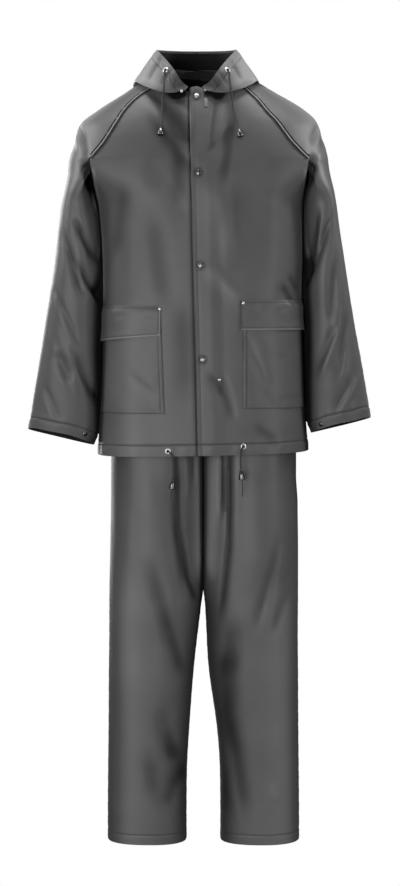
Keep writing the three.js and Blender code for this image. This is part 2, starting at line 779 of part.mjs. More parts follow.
function hoodControls(side) {
  const centre = new THREE.Vector3(hoodMiddle, -8, 0);
  const pushOut = (p, distance) => {
    const out = p.clone().sub(centre).setZ(0).normalize();
    return p.clone().addScaledVector(out, distance);
  };
  const onYoke = (face, across, z) => (
    yokePoint(across < 0 ? -side : side, face, yokeAngle(across, z), z));
  return hood.map((row) => {
    const clear = side < 0 ? Math.max(0, 1 - row.at / throatShift.rows) : 0;
    const seam = neckEdge(side, row.neckAt + throatShift.neckAt * clear);
    seam.z += neckRise + (side > 0 ? lapLift(seam.x, seam.z) : 0);
    const roll = pushOut(seam, rollOut);
    roll.z += rollUp;
    const shift = side * (hoodMiddle - jacketMiddle(0));
    const foldAcross = row.foldX + throatShift.across * clear + shift;
    const foldPoint = pushOut(onYoke(row.face, foldAcross, row.foldZ), row.foldOut);
    const midAcross = (Math.abs(seam.x - jacketMiddle(0)) + foldAcross) / 2;
    const midZ = (seam.z + row.foldZ) / 2 + 4;
    const middle = pushOut(onYoke(row.face, midAcross, midZ), row.foldOut + 2);
    const edgeAcross = row.edgeX + throatShift.across * clear;
    const edge = new THREE.Vector3(hoodMiddle + side * edgeAcross, row.edgeY, row.edgeZ);
    const belly = pushOut(foldPoint.clone().lerp(edge, 0.45), row.belly);
    return { at: row.at, points: [seam, roll, middle, foldPoint, belly, edge] };
  });
}

const hoodColumns = 11;
const hoodRows = 11;

// Grid of one half of the hood: rows from the neck seam to the open edge
function hoodGrid(side) {
  const controls = hoodControls(side);
  const axes = ['x', 'y', 'z'];
  const curves = Array.from({ length: hoodColumns + 1 }, (_, j) => {
    const at = 7 * j / hoodColumns;
    const stations = controls[0].points.map((_point, k) => {
      const track = controls.map((c) => ({ at: c.at, x: c.points[k].x, y: c.points[k].y, z: c.points[k].z }));
      return new THREE.Vector3(...axes.map((axis) => along(track, axis, at, 'at')));
    });
    let distance = 0;
    return stations.map((p, k) => {
      if (k > 0) distance += p.distanceTo(stations[k - 1]);
      return { distance, x: p.x, y: p.y, z: p.z };
    });
  });
  return Array.from({ length: hoodRows + 1 }, (_, i) => curves.map((curve) => {
    const at = curve[curve.length - 1].distance * i / hoodRows;
    return new THREE.Vector3(...axes.map((axis) => along(curve, axis, at, 'distance')));
  }));
}

function makeHood(side) {
  const points = hoodGrid(side);
  const normals = gridNormals(points, false);
  normals.forEach((row) => row[hoodColumns].setX(0).normalize());
  return { points, normals, geometry: wallGeometry(points, normals, () => true) };
}
const hoodLeft = makeHood(1);
const hoodRight = makeHood(-1);
addPiece('hood_left', hoodLeft.geometry, cloth);
addPiece('hood_right', hoodRight.geometry, cloth);

// Place on a panel's own facets, at a part row and a part column, with the panel's normal
function onPanel(panel, i, j) {
  const row = Math.min(Math.floor(i), panel.points.length - 2);
  const column = Math.min(Math.floor(j), panel.points[0].length - 2);
  const u = j - column;
  const v = i - row;
  const blend = (grid) => {
    const low = grid[row][column].clone().lerp(grid[row][column + 1], u);
    const high = grid[row + 1][column].clone().lerp(grid[row + 1][column + 1], u);
    return low.lerp(high, v);
  };
  return { point: blend(panel.points), normal: blend(panel.normals).normalize() };
}

// Part row of a height, and part column of a place across the panel at that row
function panelRow(z) {
  let i = 0;
  while (i < bodyRows.length - 2 && z > bodyRows[i + 1]) i += 1;
  return i + (z - bodyRows[i]) / (bodyRows[i + 1] - bodyRows[i]);
}

function panelColumn(panel, row, x) {
  let j = 0;
  const columns = middleColumns + sideColumns;
  const away = (k) => Math.abs(onPanel(panel, row, k).point.x - onPanel(panel, row, 0).point.x);
  const wanted = Math.abs(x - onPanel(panel, row, 0).point.x);
  while (j < columns - 2 && away(j + 1) < wanted) j += 1;
  return j + (wanted - away(j)) / (away(j + 1) - away(j));
}

// A flat piece on a front panel: rows at the given heights, columns from its inner edge out to
// outerColumn, lifted off the panel
function patchGrid(panel, heights, innerX, outerColumn, liftAt) {
  const rows = heights.map((z) => panelRow(z));
  const starts = rows.map((row, k) => panelColumn(panel, row, innerX(heights[k])));
  const first = Math.ceil(Math.max(...starts) + 0.3);
  const whole = [];
  for (let j = first; j < outerColumn - 0.2; j += 1) whole.push(j);
  const normals = [];
  const points = rows.map((row, k) => {
    const columns = [starts[k], ...whole, outerColumn];
    const places = columns.map((j) => onPanel(panel, row, j));
    normals.push(places.map((place) => place.normal));
    return places.map((place, c) => (
      place.point.clone().addScaledVector(place.normal, liftAt(k, c / (columns.length - 1)))));
  });
  return { points, normals };
}

function rowsBetween(low, high) {
  return [low, ...bodyRows.filter((z) => z > low + 8 && z < high - 8), high];
}

// Patch pockets and their flaps, each flap sewn down along its top edge
const pocket = { top: -455, bottomRight: -636, bottomLeft: -626, outerColumn: 10.2, bulge: 2.4 };
const flap = { outerColumn: 10.3, kick: 2 };
const patchLift = wall + 0.4;
const pocketEdges = {
  right: { x: (z) => mix(-70, -78, (z + 636) / 210), bottom: pocket.bottomRight,
    flapTop: -427, flapInner: -484, flapOuter: -497, flapX: () => -78 },
  left: { x: () => 80, bottom: pocket.bottomLeft,
    flapTop: -416, flapInner: -473, flapOuter: -474, flapX: () => 75 },
};

function makePocket(panel, edges) {
  const heights = rowsBetween(edges.bottom, pocket.top);
  const last = heights.length - 1;
  const grid = patchGrid(panel, heights, edges.x, pocket.outerColumn, (k, across) => (
    patchLift + pocket.bulge * Math.sin(Math.PI * k / last) * Math.sin(Math.PI * across)));
  return wallGeometry(grid.points, grid.normals, () => true);
}

function makeFlap(panel, edges) {
  const heights = rowsBetween(edges.flapInner, edges.flapTop);
  const lifts = heights.map(() => 2 * patchLift + pocket.bulge * 0.5);
  lifts[0] += flap.kick;
  lifts[heights.length - 1] = patchLift;
  const grid = patchGrid(panel, heights, edges.flapX, flap.outerColumn, (k) => lifts[k]);
  const last = grid.points[0].length - 1;
  grid.points[0].forEach((p, c) => {
    p.z += (edges.flapOuter - edges.flapInner) * c / last;
  });
  return wallGeometry(grid.points, grid.normals, () => true);
}
addPiece('pocket_right', makePocket(frontRight, pocketEdges.right), cloth);
addPiece('pocket_left', makePocket(frontLeft, pocketEdges.left), cloth);
addPiece('flap_right', makeFlap(frontRight, pocketEdges.right), cloth);
addPiece('flap_left', makeFlap(frontLeft, pocketEdges.left), cloth);

// Raised lapped seam along each raglan line, over the edge of the body and of the sleeve
const welt = { halfWidth: 4.5, lift: 0.8, ridge: 0.7, thickness: 1.1, from: 0.8, to: 5.6 };

function makeWelt(panel, panelInner, sleevePanel, seamColumn, sleeveStep) {
  const firstPanel = panel.points.length - neckShares.length - 1;
  const firstSleeve = sleevePanel.points.length - neckShares.length - 1;
  const normals = [];
  const points = [];
  const last = neckShares.length;
  const between = (grid, first, k, column) => {
    const low = Math.min(Math.floor(k), last - 1);
    return grid[first + low][column].clone().lerp(grid[first + low + 1][column], k - low);
  };
  for (const k of [welt.from, 1, 2, 3, 4, 5, welt.to]) {
    const seam = between(panel.points, firstPanel, k, panelInner.seam);
    const bodySide = between(panel.points, firstPanel, k, panelInner.beside);
    const sleeveSide = between(sleevePanel.points, firstSleeve, k, seamColumn + sleeveStep);
    const normal = between(panel.normals, firstPanel, k, panelInner.seam)
      .add(between(sleevePanel.normals, firstSleeve, k, seamColumn)).normalize();
    const step = (target) => target.clone().sub(seam).normalize().multiplyScalar(welt.halfWidth);
    const height = welt.lift + welt.thickness;
    points.push([
      seam.clone().add(step(bodySide)).addScaledVector(normal, height),
      seam.clone().addScaledVector(normal, height + welt.ridge),
      seam.clone().add(step(sleeveSide)).addScaledVector(normal, height),
    ]);
    normals.push([normal, normal, normal]);
  }
  return wallGeometry(points, normals, () => true, welt.thickness);
}

const backColumns = middleColumns + sideColumns;
const ringColumns = 2 * (innerColumns + outerColumns);
for (const [side, name, front, sleevePiece] of [
  [-1, 'right', frontRight, sleeveRight], [1, 'left', frontLeft, sleeveLeft]]) {
  const inFront = { seam: middleColumns, beside: middleColumns - 1 };
  const behind = { seam: backColumns + side * middleColumns,
    beside: backColumns + side * (middleColumns - 1) };
  addPiece(`raglan_welt_${name}_front`,
    makeWelt(front, inFront, sleevePiece, innerColumns, 1), cloth);
  addPiece(`raglan_welt_${name}_back`,
    makeWelt(back, behind, sleevePiece, ringColumns - innerColumns, -1), cloth);
}

// Small round pieces: a turned profile whose foot stands on the cloth, looking outwards
suit.updateMatrixWorld(true);
const caster = new THREE.Raycaster();

// Where a straight line towards the back first meets one of the named pieces
function seatInFront(names, x, z) {
  caster.set(new THREE.Vector3(x, -1000, z), new THREE.Vector3(0, 1, 0));
  const hits = caster.intersectObjects(names.map((name) => suit.getObjectByName(name)));
  return { point: hits[0].point, normal: hits[0].face.normal.clone() };
}

function turned(profile, sides = 12) {
  return new THREE.LatheGeometry(profile.map(([r, y]) => new THREE.Vector2(r, y)), sides);
}

function seated(name, geometry, seat, lift, material) {
  const mesh = addPiece(name, geometry, material);
  mesh.position.copy(seat.point).addScaledVector(seat.normal, lift);
  mesh.quaternion.setFromUnitVectors(new THREE.Vector3(0, 1, 0), seat.normal);
  return mesh;
}

function capProfile(radius, height) {
  return [[0, 0], [radius, 0], [radius, height * 0.35], [radius * 0.72, height * 0.8],
    [radius * 0.35, height], [0, height]];
}

function ringProfile(radius, hole, height) {
  return [[hole, 0], [radius, 0], [radius, height * 0.4], [(radius + hole) / 2, height],
    [hole, height * 0.5], [hole, 0]];
}

const studLift = 0.55;
const snapHeight = 2.2;
const frontSnapZ = [-21, -171, -349, -531];
frontSnapZ.forEach((z, i) => {
  const seat = seatInFront(['jacket_front_left'], closingX(z), z);
  seated(`snap_front_${i + 1}`, turned(capProfile(snapRadius, snapHeight)), seat, studLift, nickel);
});

const rivets = [
  ['rivet_neck_right', 'hood_right', -27, -12],
  ['rivet_neck_left', 'hood_left', 9, -12],
  ['rivet_flap_right', 'flap_right', -79, -433],
  ['rivet_flap_left', 'flap_left', 81, -422],
  ['rivet_front', 'jacket_front_left', 36, -570],
];
for (const [name, carrier, x, z] of rivets) {
  const seat = seatInFront([carrier], x, z);
  seated(name, turned(capProfile(rivetRadius, 1.4)), seat, studLift, nickel);
}

// One snap on the front of each cuff, near its inner edge, to draw the cuff in
const cuffSnaps = [
  ['snap_cuff_right', 'sleeve_right_front', -229, -680],
  ['snap_cuff_left', 'sleeve_left_front', 237, -661],
];
for (const [name, carrier, x, z] of cuffSnaps) {
  const seat = seatInFront([carrier], x, z);
  seated(name, turned(capProfile(4.4, 1.8)), seat, studLift, nickel);
}

// Eyelets that the drawcords come out of
const eyelets = [
  ['eyelet_hood_right', 'hood_right', -69, 31],
  ['eyelet_hood_left', 'hood_left', 51.5, 31],
  ['eyelet_hem_right', 'jacket_front_right', -64, -708],
  ['eyelet_hem_left', 'jacket_front_left', 82, -699],
];
for (const [name, carrier, x, z] of eyelets) {
  const seat = seatInFront([carrier], x, z);
  seated(name, turned(ringProfile(eyeletRadius, eyeletHole, 1.5), 14), seat, studLift, nickel);
}

// Small cloth loop under the neck, on the upper front
const loop = { x: 9.5, halfWidth: 3, top: -25, bottom: -43, rows: 3 };

function makeLoop() {
  const points = [];
  const normals = [];
  for (let k = 0; k <= loop.rows; k += 1) {
    const z = mix(loop.bottom, loop.top, k / loop.rows);
    const seats = [-1, 1].map((s) => seatInFront(['jacket_front_left'], loop.x + s * loop.halfWidth, z));
    points.push(seats.map((seat) => seat.point.clone().addScaledVector(seat.normal, wall + studLift)));
    normals.push(seats.map((seat) => seat.normal));
  }
  return wallGeometry(points, normals, () => true, wall * 0.8);
}
addPiece('neck_loop', makeLoop(), cloth);

// Drawcord ends: each comes out of its eyelet, drops, and ends in a bell with a loose tail.
// The points are places of the cord's middle line.
const cords = {
  hood_right: {
    points: [[-69.4, -81, 31.6], [-70.6, -84.6, 31.8], [-71.2, -88.6, 27], [-71.5, -92.4, 18],
      [-71.9, -97, 8], [-72.4, -101.6, -2], [-73.1, -104.9, -12], [-73.9, -106, -24],
      [-74.7, -108.2, -38], [-75.6, -114.6, -52], [-76.4, -121.4, -65], [-77.2, -128, -75.5],
      [-77.8, -133.6, -85.5]],
    bellHeight: 14, tail: 2, hang: [-0.02, -0.42, -0.9],
  },
  hood_left: {
    points: [[51.8, -81.2, 31.6], [53.2, -84.8, 31.8], [54.4, -88.8, 26.5], [55.5, -92, 17],
      [56.7, -96.6, 7], [57.7, -101.3, -3], [58.7, -103.8, -14], [60.2, -105.4, -28],
      [62.4, -109.6, -42], [65, -116.4, -55], [67.8, -123, -67], [70.4, -129, -77.5],
      [72.8, -135.2, -88]],
    bellHeight: 15, tail: 7, hang: [0.2, -0.36, -0.91],
  },
  hem_right: {
    points: [[-64, -158.2, -708], [-62.9, -162.2, -708.4], [-59.4, -165, -711], [-56, -165.8, -716.6],
      [-53.9, -165.8, -726], [-52.8, -165.6, -738], [-53, -165.4, -750], [-54.4, -165.2, -762.8]],
    bellHeight: 17, tail: 20, hang: [-0.12, 0.02, -0.99],
  },
  hem_left: {
    points: [[82, -157.2, -699], [81.2, -161.4, -699.4], [78.8, -164.8, -702.3], [76.9, -165.8, -709],
      [76.3, -165.8, -719], [76.8, -165.6, -731], [77.8, -165.4, -743.8]],
    bellHeight: 18, tail: 34, hang: [0.06, 0.01, -0.99],
  },
};
const cordStep = 8.5;
const bell = { foot: 6.2, neck: 2.5, tail: 1.2 };

function makeCord(points) {
  const section = new THREE.Shape();
  for (let k = 0; k < cordSides; k += 1) {
    const angle = 2 * Math.PI * k / cordSides;
    const place = [cordRadius * Math.cos(angle), cordRadius * Math.sin(angle)];
    if (k === 0) section.moveTo(...place);
    else section.lineTo(...place);
  }
  section.closePath();
  const route = new THREE.CatmullRomCurve3(points.map((p) => new THREE.Vector3(...p)));
  const steps = Math.round(route.getLength() / cordStep);
  return new THREE.ExtrudeGeometry(section, { steps, extrudePath: route, curveSegments: 1 });
}

// Bell from its foot (height 0) up to the cord, with the cord's tail hanging from its foot
function bellProfile(height, tail) {
  return [[0, -tail], [bell.tail, -tail], [bell.tail, 0], [bell.foot, 0], [bell.foot, height * 0.16],
    [bell.foot * 0.8, height * 0.55], [bell.neck * 1.3, height * 0.86], [bell.neck, height],
    [0, height]];
}

for (const [place, cord] of Object.entries(cords)) {
  addPiece(`cord_${place}`, makeCord(cord.points), cordMaterial);
  const end = new THREE.Vector3(...cord.points[cord.points.length - 1]);
  const hang = new THREE.Vector3(...cord.hang).normalize();
  const mesh = addPiece(`cord_end_${place}`, turned(bellProfile(cord.bellHeight, cord.tail), 10),
    bellMaterial);
  mesh.position.copy(end).addScaledVector(hang, cord.bellHeight + trimLift + 0.1);
  mesh.quaternion.setFromUnitVectors(new THREE.Vector3(0, 1, 0), hang.clone().negate());
}

export default suit;
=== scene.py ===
import math
import bpy
import numpy as np
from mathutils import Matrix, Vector


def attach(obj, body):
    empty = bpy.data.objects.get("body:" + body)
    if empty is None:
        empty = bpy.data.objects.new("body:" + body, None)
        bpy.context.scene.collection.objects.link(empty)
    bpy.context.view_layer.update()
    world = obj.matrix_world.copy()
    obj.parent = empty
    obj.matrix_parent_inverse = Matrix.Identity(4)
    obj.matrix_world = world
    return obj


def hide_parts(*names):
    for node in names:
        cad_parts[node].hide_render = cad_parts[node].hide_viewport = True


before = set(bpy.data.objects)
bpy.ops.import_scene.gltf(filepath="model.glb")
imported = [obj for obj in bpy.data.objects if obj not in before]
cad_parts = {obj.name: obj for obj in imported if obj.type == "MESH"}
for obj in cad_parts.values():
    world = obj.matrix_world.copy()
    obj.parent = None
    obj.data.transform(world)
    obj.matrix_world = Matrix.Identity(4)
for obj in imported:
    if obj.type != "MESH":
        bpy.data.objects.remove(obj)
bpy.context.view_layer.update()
mm = 0.001

# Camera at the photograph's height and distance, tipped down a little
viewpoint = {"place": (-0.002, -4.5, -0.4159), "down": 3.638, "lens": 91.4}
cameraData = bpy.data.cameras.new("camera")
cameraData.lens = viewpoint["lens"]
camera = bpy.data.objects.new("camera", cameraData)
camera.location = viewpoint["place"]
camera.rotation_euler = (math.radians(90 - viewpoint["down"]), 0, 0)
bpy.context.scene.collection.objects.link(camera)
bpy.context.scene.camera = camera
print("camera is set")


# A table has named columns and a row for each height or place.
def table(columns, rows):
    return dict(zip(columns.split(), np.array(rows, float).T))


# Straight line from a at t = 0 to b at t = 1.
def mix(a, b, t):
    return a + (b - a) * t


# 3t^2 - 2t^3 between 0 and 1, flat at both ends.
def smooth(t):
    s = np.clip(t, 0, 1)
    return s * s * (3 - 2 * s)


# A bell: e to the power of minus (distance / width) squared.
def bump(distance, width):
    return np.exp(-((distance / width) ** 2))


# A smooth curve through the values at rising keys: a cubic in each span, whose end slopes are
# those of the straight lines between the neighbours on either side.
def curveThrough(keys, values, at):
    at = np.asarray(at, float)
    shape = (len(keys),) + at.shape
    keys = np.broadcast_to(keys.reshape(keys.shape + (1,) * (at.ndim + 1 - keys.ndim)), shape)
    values = np.broadcast_to(values.reshape(values.shape + (1,) * (at.ndim + 1 - values.ndim)), shape)
    last = shape[0] - 1
    i = (at > keys[1:-1]).sum(0)

    # value of an array at an index of its first axis, held between its ends
    def pick(array, index):
        return np.take_along_axis(array, np.clip(index, 0, last)[None], 0)[0]

    keyA, keyB, valueA, valueB = pick(keys, i), pick(keys, i + 1), pick(values, i), pick(values, i + 1)
    span = keyB - keyA
    t = np.clip((at - keyA) / span, 0, 1)
    slopeA = span * (valueB - pick(values, i - 1)) / (keyB - pick(keys, i - 1))
    slopeB = span * (pick(values, i + 2) - valueA) / (pick(keys, i + 2) - keyA)
    return ((2 * t**3 - 3 * t**2 + 1) * valueA + (t**3 - 2 * t**2 + t) * slopeA
            + (3 * t**2 - 2 * t**3) * valueB + (t**3 - t**2) * slopeB)


# Value of a table's column at a height, or at another key, on the smooth curve through its rows.
def along(rows, name, at, key="z"):
    order = np.argsort(rows[key])
    return curveThrough(rows[key][order], rows[name][order], at)


# Linear colour of sRGB hex: each channel c is c / 12.92 up to 0.04045, and above it
# (c + 0.055) / 1.055 to the power of 2.4.
def toLinear(hexColour):
    srgb = [int(hexColour[i:i + 2], 16) / 255 for i in (1, 3, 5)]
    return [c / 12.92 if c <= 0.04045 else ((c + 0.055) / 1.055) ** 2.4 for c in srgb] + [1.0]


# Adds one node with its settings, fixed inputs and links, and gives it back.
def addNode(tree, kind, settings=None, values=None, links=None):
    node = tree.nodes.new(kind)
    for name, value in (settings or {}).items():
        setattr(node, name, value)
    for name, value in (values or {}).items():
        node.inputs[name].default_value = value
    for name, socket in (links or {}).items():
        tree.links.new(socket, node.inputs[name])
    return node


# A new material with an empty node tree.
def newMaterial(name):
    material = bpy.data.materials.new(name)
    material.use_nodes = True
    material.node_tree.nodes.clear()
    return material, material.node_tree


# The principled shader with its fixed inputs and links, joined to the material's output.
def shadeWith(tree, values, links):
    shader = addNode(tree, "ShaderNodeBsdfPrincipled", values=values, links=links)
    addNode(tree, "ShaderNodeOutputMaterial", links={"Surface": shader.outputs["BSDF"]})


# A material of one noise, which tints it, spreads its roughness and raises its relief, where
# the facts name them. The relief is its strength and its distance in metres.
def makePlainMaterial(name, facts):
    material, tree = newMaterial(name)
    place = addNode(tree, "ShaderNodeTexCoord")
    noise = addNode(tree, "ShaderNodeTexNoise", values={"Scale": facts["scale"], "Detail": facts["detail"]},
                    links={"Vector": place.outputs["Object"]}).outputs["Fac"]
    links = {}
    if "tint" in facts:
        tint = addNode(tree, "ShaderNodeValToRGB", links={"Fac": noise})
        for element, colour in zip(tint.color_ramp.elements, facts["tint"]):
            element.color = toLinear(colour)
        links["Base Color"] = tint.outputs["Color"]
    if "roughness" in facts:
        low, high = facts["roughness"]
        gloss = addNode(tree, "ShaderNodeMapRange", values={"To Min": low, "To Max": high},
                        links={"Value": noise})
        links["Roughness"] = gloss.outputs["Result"]
    if "relief" in facts:
        strength, distance = facts["relief"]
        relief = addNode(tree, "ShaderNodeBump", values={"Strength": strength, "Distance": distance},
                         links={"Height": noise})
        links["Normal"] = relief.outputs["Normal"]
    shadeWith(tree, facts["values"], links)
    return material


# Among the cloth's facts: the tint of the painted shade, the pale colour of the painted light, and the gloss
# lowered in painted shade
coating = {"clouds": 16.0, "tint": ("#545454", "#5a5a5a"), "paintedShadeTint": (0.06, 0.06, 0.06, 1), "paintedLight": "#a4a4a4",
           "shine": (0.42, 0.05), "roughness": (0.41, 0.48), "threads": 2000 / 20 * math.pi, "grain": 400.0}


# Polyurethane-coated polyester, calendered: an even dark grey film with a satin, slightly
# uneven gloss, over a weave that shows only as a fine grain. The film is a little thicker in
# clouds about 60 mm wide. Its grain of 2.5 mm is drawn coarser than the real 1 mm, so that it
# shows, and the threads are 0.5 mm apart.
def makeCoatedCloth(name, facts):
    material, tree = newMaterial(name)
    place = addNode(tree, "ShaderNodeTexCoord")
    clouds = addNode(tree, "ShaderNodeTexNoise",
                     values={"Scale": facts["clouds"], "Detail": 3.0, "Roughness": 0.55},
                     links={"Vector": place.outputs["Object"]})
    tint = addNode(tree, "ShaderNodeValToRGB", links={"Fac": clouds.outputs["Fac"]})
    for element, position, colour in zip(tint.color_ramp.elements, (0.3, 0.7), facts["tint"]):
        element.position = position
        element.color = toLinear(colour)
    # Painted shade darkens grooves and covered places, and lowers their gloss, where the piece's
    # painted shading is above nought; painted light makes rolled edges paler, where it is below
    tone = addNode(tree, "ShaderNodeAttribute", settings={"attribute_name": "tone"})
    dark, paintedLight = (addNode(tree, "ShaderNodeMath", settings={"operation": "MULTIPLY", "use_clamp": True},
                            values={1: way}, links={0: tone.outputs["Fac"]}) for way in (1.0, -1.0))
    paintedShadeTint = addNode(tree, "ShaderNodeMixRGB", settings={"blend_type": "MULTIPLY"},
                   values={"Color2": facts["paintedShadeTint"]},
                   links={"Fac": dark.outputs["Value"], "Color1": tint.outputs["Color"]})
    paler = addNode(tree, "ShaderNodeMixRGB", values={"Color2": toLinear(facts["paintedLight"])},
                    links={"Fac": paintedLight.outputs["Value"], "Color1": paintedShadeTint.outputs["Color"]})
    shine, gloss = (addNode(tree, "ShaderNodeMapRange", values={"To Min": ends[0], "To Max": ends[1]},
                            links={"Value": value})
                    for ends, value in ((facts["shine"], dark.outputs["Value"]),
                                        (facts["roughness"], clouds.outputs["Fac"])))
    # Threads along and across each piece, from its own map in metres
    warp, weft = (addNode(tree, "ShaderNodeTexWave", settings={"wave_type": "BANDS", "bands_direction": way},
                          values={"Scale": facts["threads"], "Distortion": 0.4, "Detail": 1.0},
                          links={"Vector": place.outputs["UV"]}) for way in "XY")
    threads = addNode(tree, "ShaderNodeMath", settings={"operation": "MULTIPLY"},
                      links={0: warp.outputs["Fac"], 1: weft.outputs["Fac"]})
    grain = addNode(tree, "ShaderNodeTexNoise", values={"Scale": facts["grain"], "Detail": 2.0},
                    links={"Vector": place.outputs["Object"]})
    fine = addNode(tree, "ShaderNodeBump", values={"Strength": 0.12, "Distance": 0.0001},
                   links={"Height": threads.outputs["Value"]})
    film = addNode(tree, "ShaderNodeBump", values={"Strength": 0.25, "Distance": 0.00025},
                   links={"Height": grain.outputs["Fac"], "Normal": fine.outputs["Normal"]})
    shadeWith(tree, {"IOR": 1.45, "Sheen Weight": 0.04, "Sheen Roughness": 0.5},
              {"Base Color": paler.outputs["Color"], "Specular IOR Level": shine.outputs["Result"],
               "Roughness": gloss.outputs["Result"], "Normal": film.outputs["Normal"]})
    return material


coatedCloth = makeCoatedCloth("polyurethane_coated_polyester_calendered", coating)
# Brushed polyester knit, the backing of the cloth: black and matt with a soft nap
backing = makePlainMaterial("brushed_polyester_knit_backing", {
    "scale": 700.0, "detail": 3.0, "tint": ("#121212", "#2c2c2c"), "relief": (0.4, 0.0003),
    "values": {"Roughness": 0.92, "Specular IOR Level": 0.2, "Sheen Weight": 0.1}})
# Nickel-plated pressed brass: bright, with faint tumbling marks
nickel = makePlainMaterial("nickel_plated_brass_pressed", {
    "scale": 900.0, "detail": 4.0, "roughness": (0.3, 0.46), "relief": (0.1, 0.0001),
    "values": {"Base Color": toLinear("#dededb"), "Metallic": 1.0}})
# Black-nickel-plated zinc, die-cast: the cord ends, dark and glossy with pale glints; the snaps
# below the top one also take it, as painted shade
darkMetal = makePlainMaterial("black_nickel_plated_zinc_cast", {
    "scale": 600.0, "detail": 3.0, "roughness": (0.14, 0.3),
    "values": {"Base Color": toLinear("#6a6a6c"), "Metallic": 1.0}})
# Polyester yarn, braided for the cords and twisted for the thread: matt, a little uneven
yarn = {"detail": 3.0, "relief": (0.35, 0.0002), "values": {"Roughness": 0.75, "Sheen Weight": 0.15}}
braid, thread = (makePlainMaterial(name, {**yarn, "scale": scale, "tint": tint}) for name, scale, tint in (
    ("polyester_yarn_braided", 1600.0, ("#171717", "#3a3a3a")),
    ("polyester_thread_twisted", 2500.0, ("#303030", "#4c4c4c"))))
print("materials are made")


# Puts arrays into a mesh object at the origin. Points are in millimetres.
def meshObject(name, points, faces, materials, faceMaterials=None, uv=None, sharp=40, tone=None):
    mesh = bpy.data.meshes.new(name)
    faces = faces if isinstance(faces, list) else faces.tolist()
    mesh.from_pydata((np.asarray(points, float) * mm).tolist(), [], faces)
    for material in materials:
        mesh.materials.append(material)
    if faceMaterials is not None:
        mesh.polygons.foreach_set("material_index", np.asarray(faceMaterials, np.int32))
    if uv is not None:
        corners = np.empty(len(mesh.loops), np.int32)
        mesh.loops.foreach_get("vertex_index", corners)
        mesh.uv_layers.new(name="cut").data.foreach_set("uv", uv[corners].ravel())
    # each point's painted shading: painted shade above nought, painted light below it
    if tone is not None:
        mesh.attributes.new("tone", "FLOAT", "POINT").data.foreach_set("value", tone.astype(np.float32))
    mesh.polygons.foreach_set("use_smooth", np.ones(len(mesh.polygons), bool))
    mesh.set_sharp_from_angle(angle=math.radians(sharp))
    mesh.update()
    piece = bpy.data.objects.new(name, mesh)
    bpy.context.scene.collection.objects.link(piece)
    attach(piece, "root")
    return piece


# Unit vectors of an array of vectors.
def unit(vectors):
    return vectors / np.maximum(np.linalg.norm(vectors, axis=-1, keepdims=True), 1e-9)


# Distance along a line of places from its first one.
def travelled(line):
    return np.append(0, np.cumsum(np.linalg.norm(np.diff(line, axis=0), axis=1)))


# Ways round a circle: cosine times the first way and sine times the second, at even angles.
def circleWays(first, second, sides):
    angle = np.linspace(0, 2 * np.pi, sides, endpoint=False)[:, None]
    return np.cos(angle) * first[..., None, :] + np.sin(angle) * second[..., None, :]


# Quads between the neighbouring rings of a tube.
def ringFaces(count, sides):
    i, j = np.meshgrid(np.arange(count - 1) * sides, np.arange(sides), indexing="ij")
    k = (j + 1) % sides
    return np.stack([i + j, i + k, i + sides + k, i + sides + j], -1).reshape(-1, 4)


# A closed tube on a path: rings round each place of the path, square to it and turned from the
# X direction, with a radius for each place and angle. A fan of triangles to one point in the
# middle closes each end.
def tube(path, radii):
    count, sides = radii.shape
    fixed = np.array([1.0, 0, 0])
    heading = unit(np.gradient(path, axis=0))
    across = unit(fixed - (heading @ fixed)[:, None] * heading)
    ring = circleWays(across, np.cross(heading, across), sides)
    points = (path[:, None] + ring * radii[..., None]).reshape(-1, 3)
    ends = np.array([points[:sides].mean(0), points[-sides:].mean(0)])
    total, last = count * sides, (count - 1) * sides
    k = np.arange(sides)
    n = (k + 1) % sides
    start = np.stack([np.full(sides, total), n, k], -1)
    stop = np.stack([np.full(sides, total + 1), last + k, last + n], -1)
    faces = ringFaces(count, sides).tolist() + start.tolist() + stop.tolist()
    return np.vstack([points, ends]), faces


# Drawcord ends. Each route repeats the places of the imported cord's middle line.
drawcords = {
    "hood_right": {
        "route": [(-69.4, -81, 31.6), (-70.6, -84.6, 31.8), (-71.2, -88.6, 27), (-71.5, -92.4, 18),
                  (-71.9, -97, 8), (-72.4, -101.6, -2), (-73.1, -104.9, -12), (-73.9, -106, -24),
                  (-74.7, -108.2, -38), (-75.6, -114.6, -52), (-76.4, -121.4, -65),
                  (-77.2, -128, -75.5), (-77.8, -133.6, -85.5)],
        "bellHeight": 14, "tail": 2, "hang": (-0.02, -0.42, -0.9)},
    "hood_left": {
        "route": [(51.8, -81.2, 31.6), (53.2, -84.8, 31.8), (54.4, -88.8, 26.5), (55.5, -92, 17),
                  (56.7, -96.6, 7), (57.7, -101.3, -3), (58.7, -103.8, -14), (60.2, -105.4, -28),
                  (62.4, -109.6, -42), (65, -116.4, -55), (67.8, -123, -67), (70.4, -129, -77.5),
                  (72.8, -135.2, -88)],
        "bellHeight": 15, "tail": 7, "hang": (0.2, -0.36, -0.91)},
    "hem_right": {
        "route": [(-64, -158.2, -708), (-62.9, -162.2, -708.4), (-59.4, -165, -711),
                  (-56, -165.8, -716.6), (-53.9, -165.8, -726), (-52.8, -165.6, -738),
                  (-53, -165.4, -750), (-54.4, -165.2, -762.8)],
        "bellHeight": 17, "tail": 20, "hang": (-0.12, 0.02, -0.99)},
    "hem_left": {
        "route": [(82, -157.2, -699), (81.2, -161.4, -699.4), (78.8, -164.8, -702.3),
                  (76.9, -165.8, -709), (76.3, -165.8, -719), (76.8, -165.6, -731),
                  (77.8, -165.4, -743.8)],
        "bellHeight": 18, "tail": 34, "hang": (0.06, 0.01, -0.99)},
}
cordShape = {"radius": 1.7, "strands": 8, "pitch": 5.5, "relief": 0.1, "sides": 32, "step": 0.7,
             "tailShare": 0.62, "bellSides": 40}
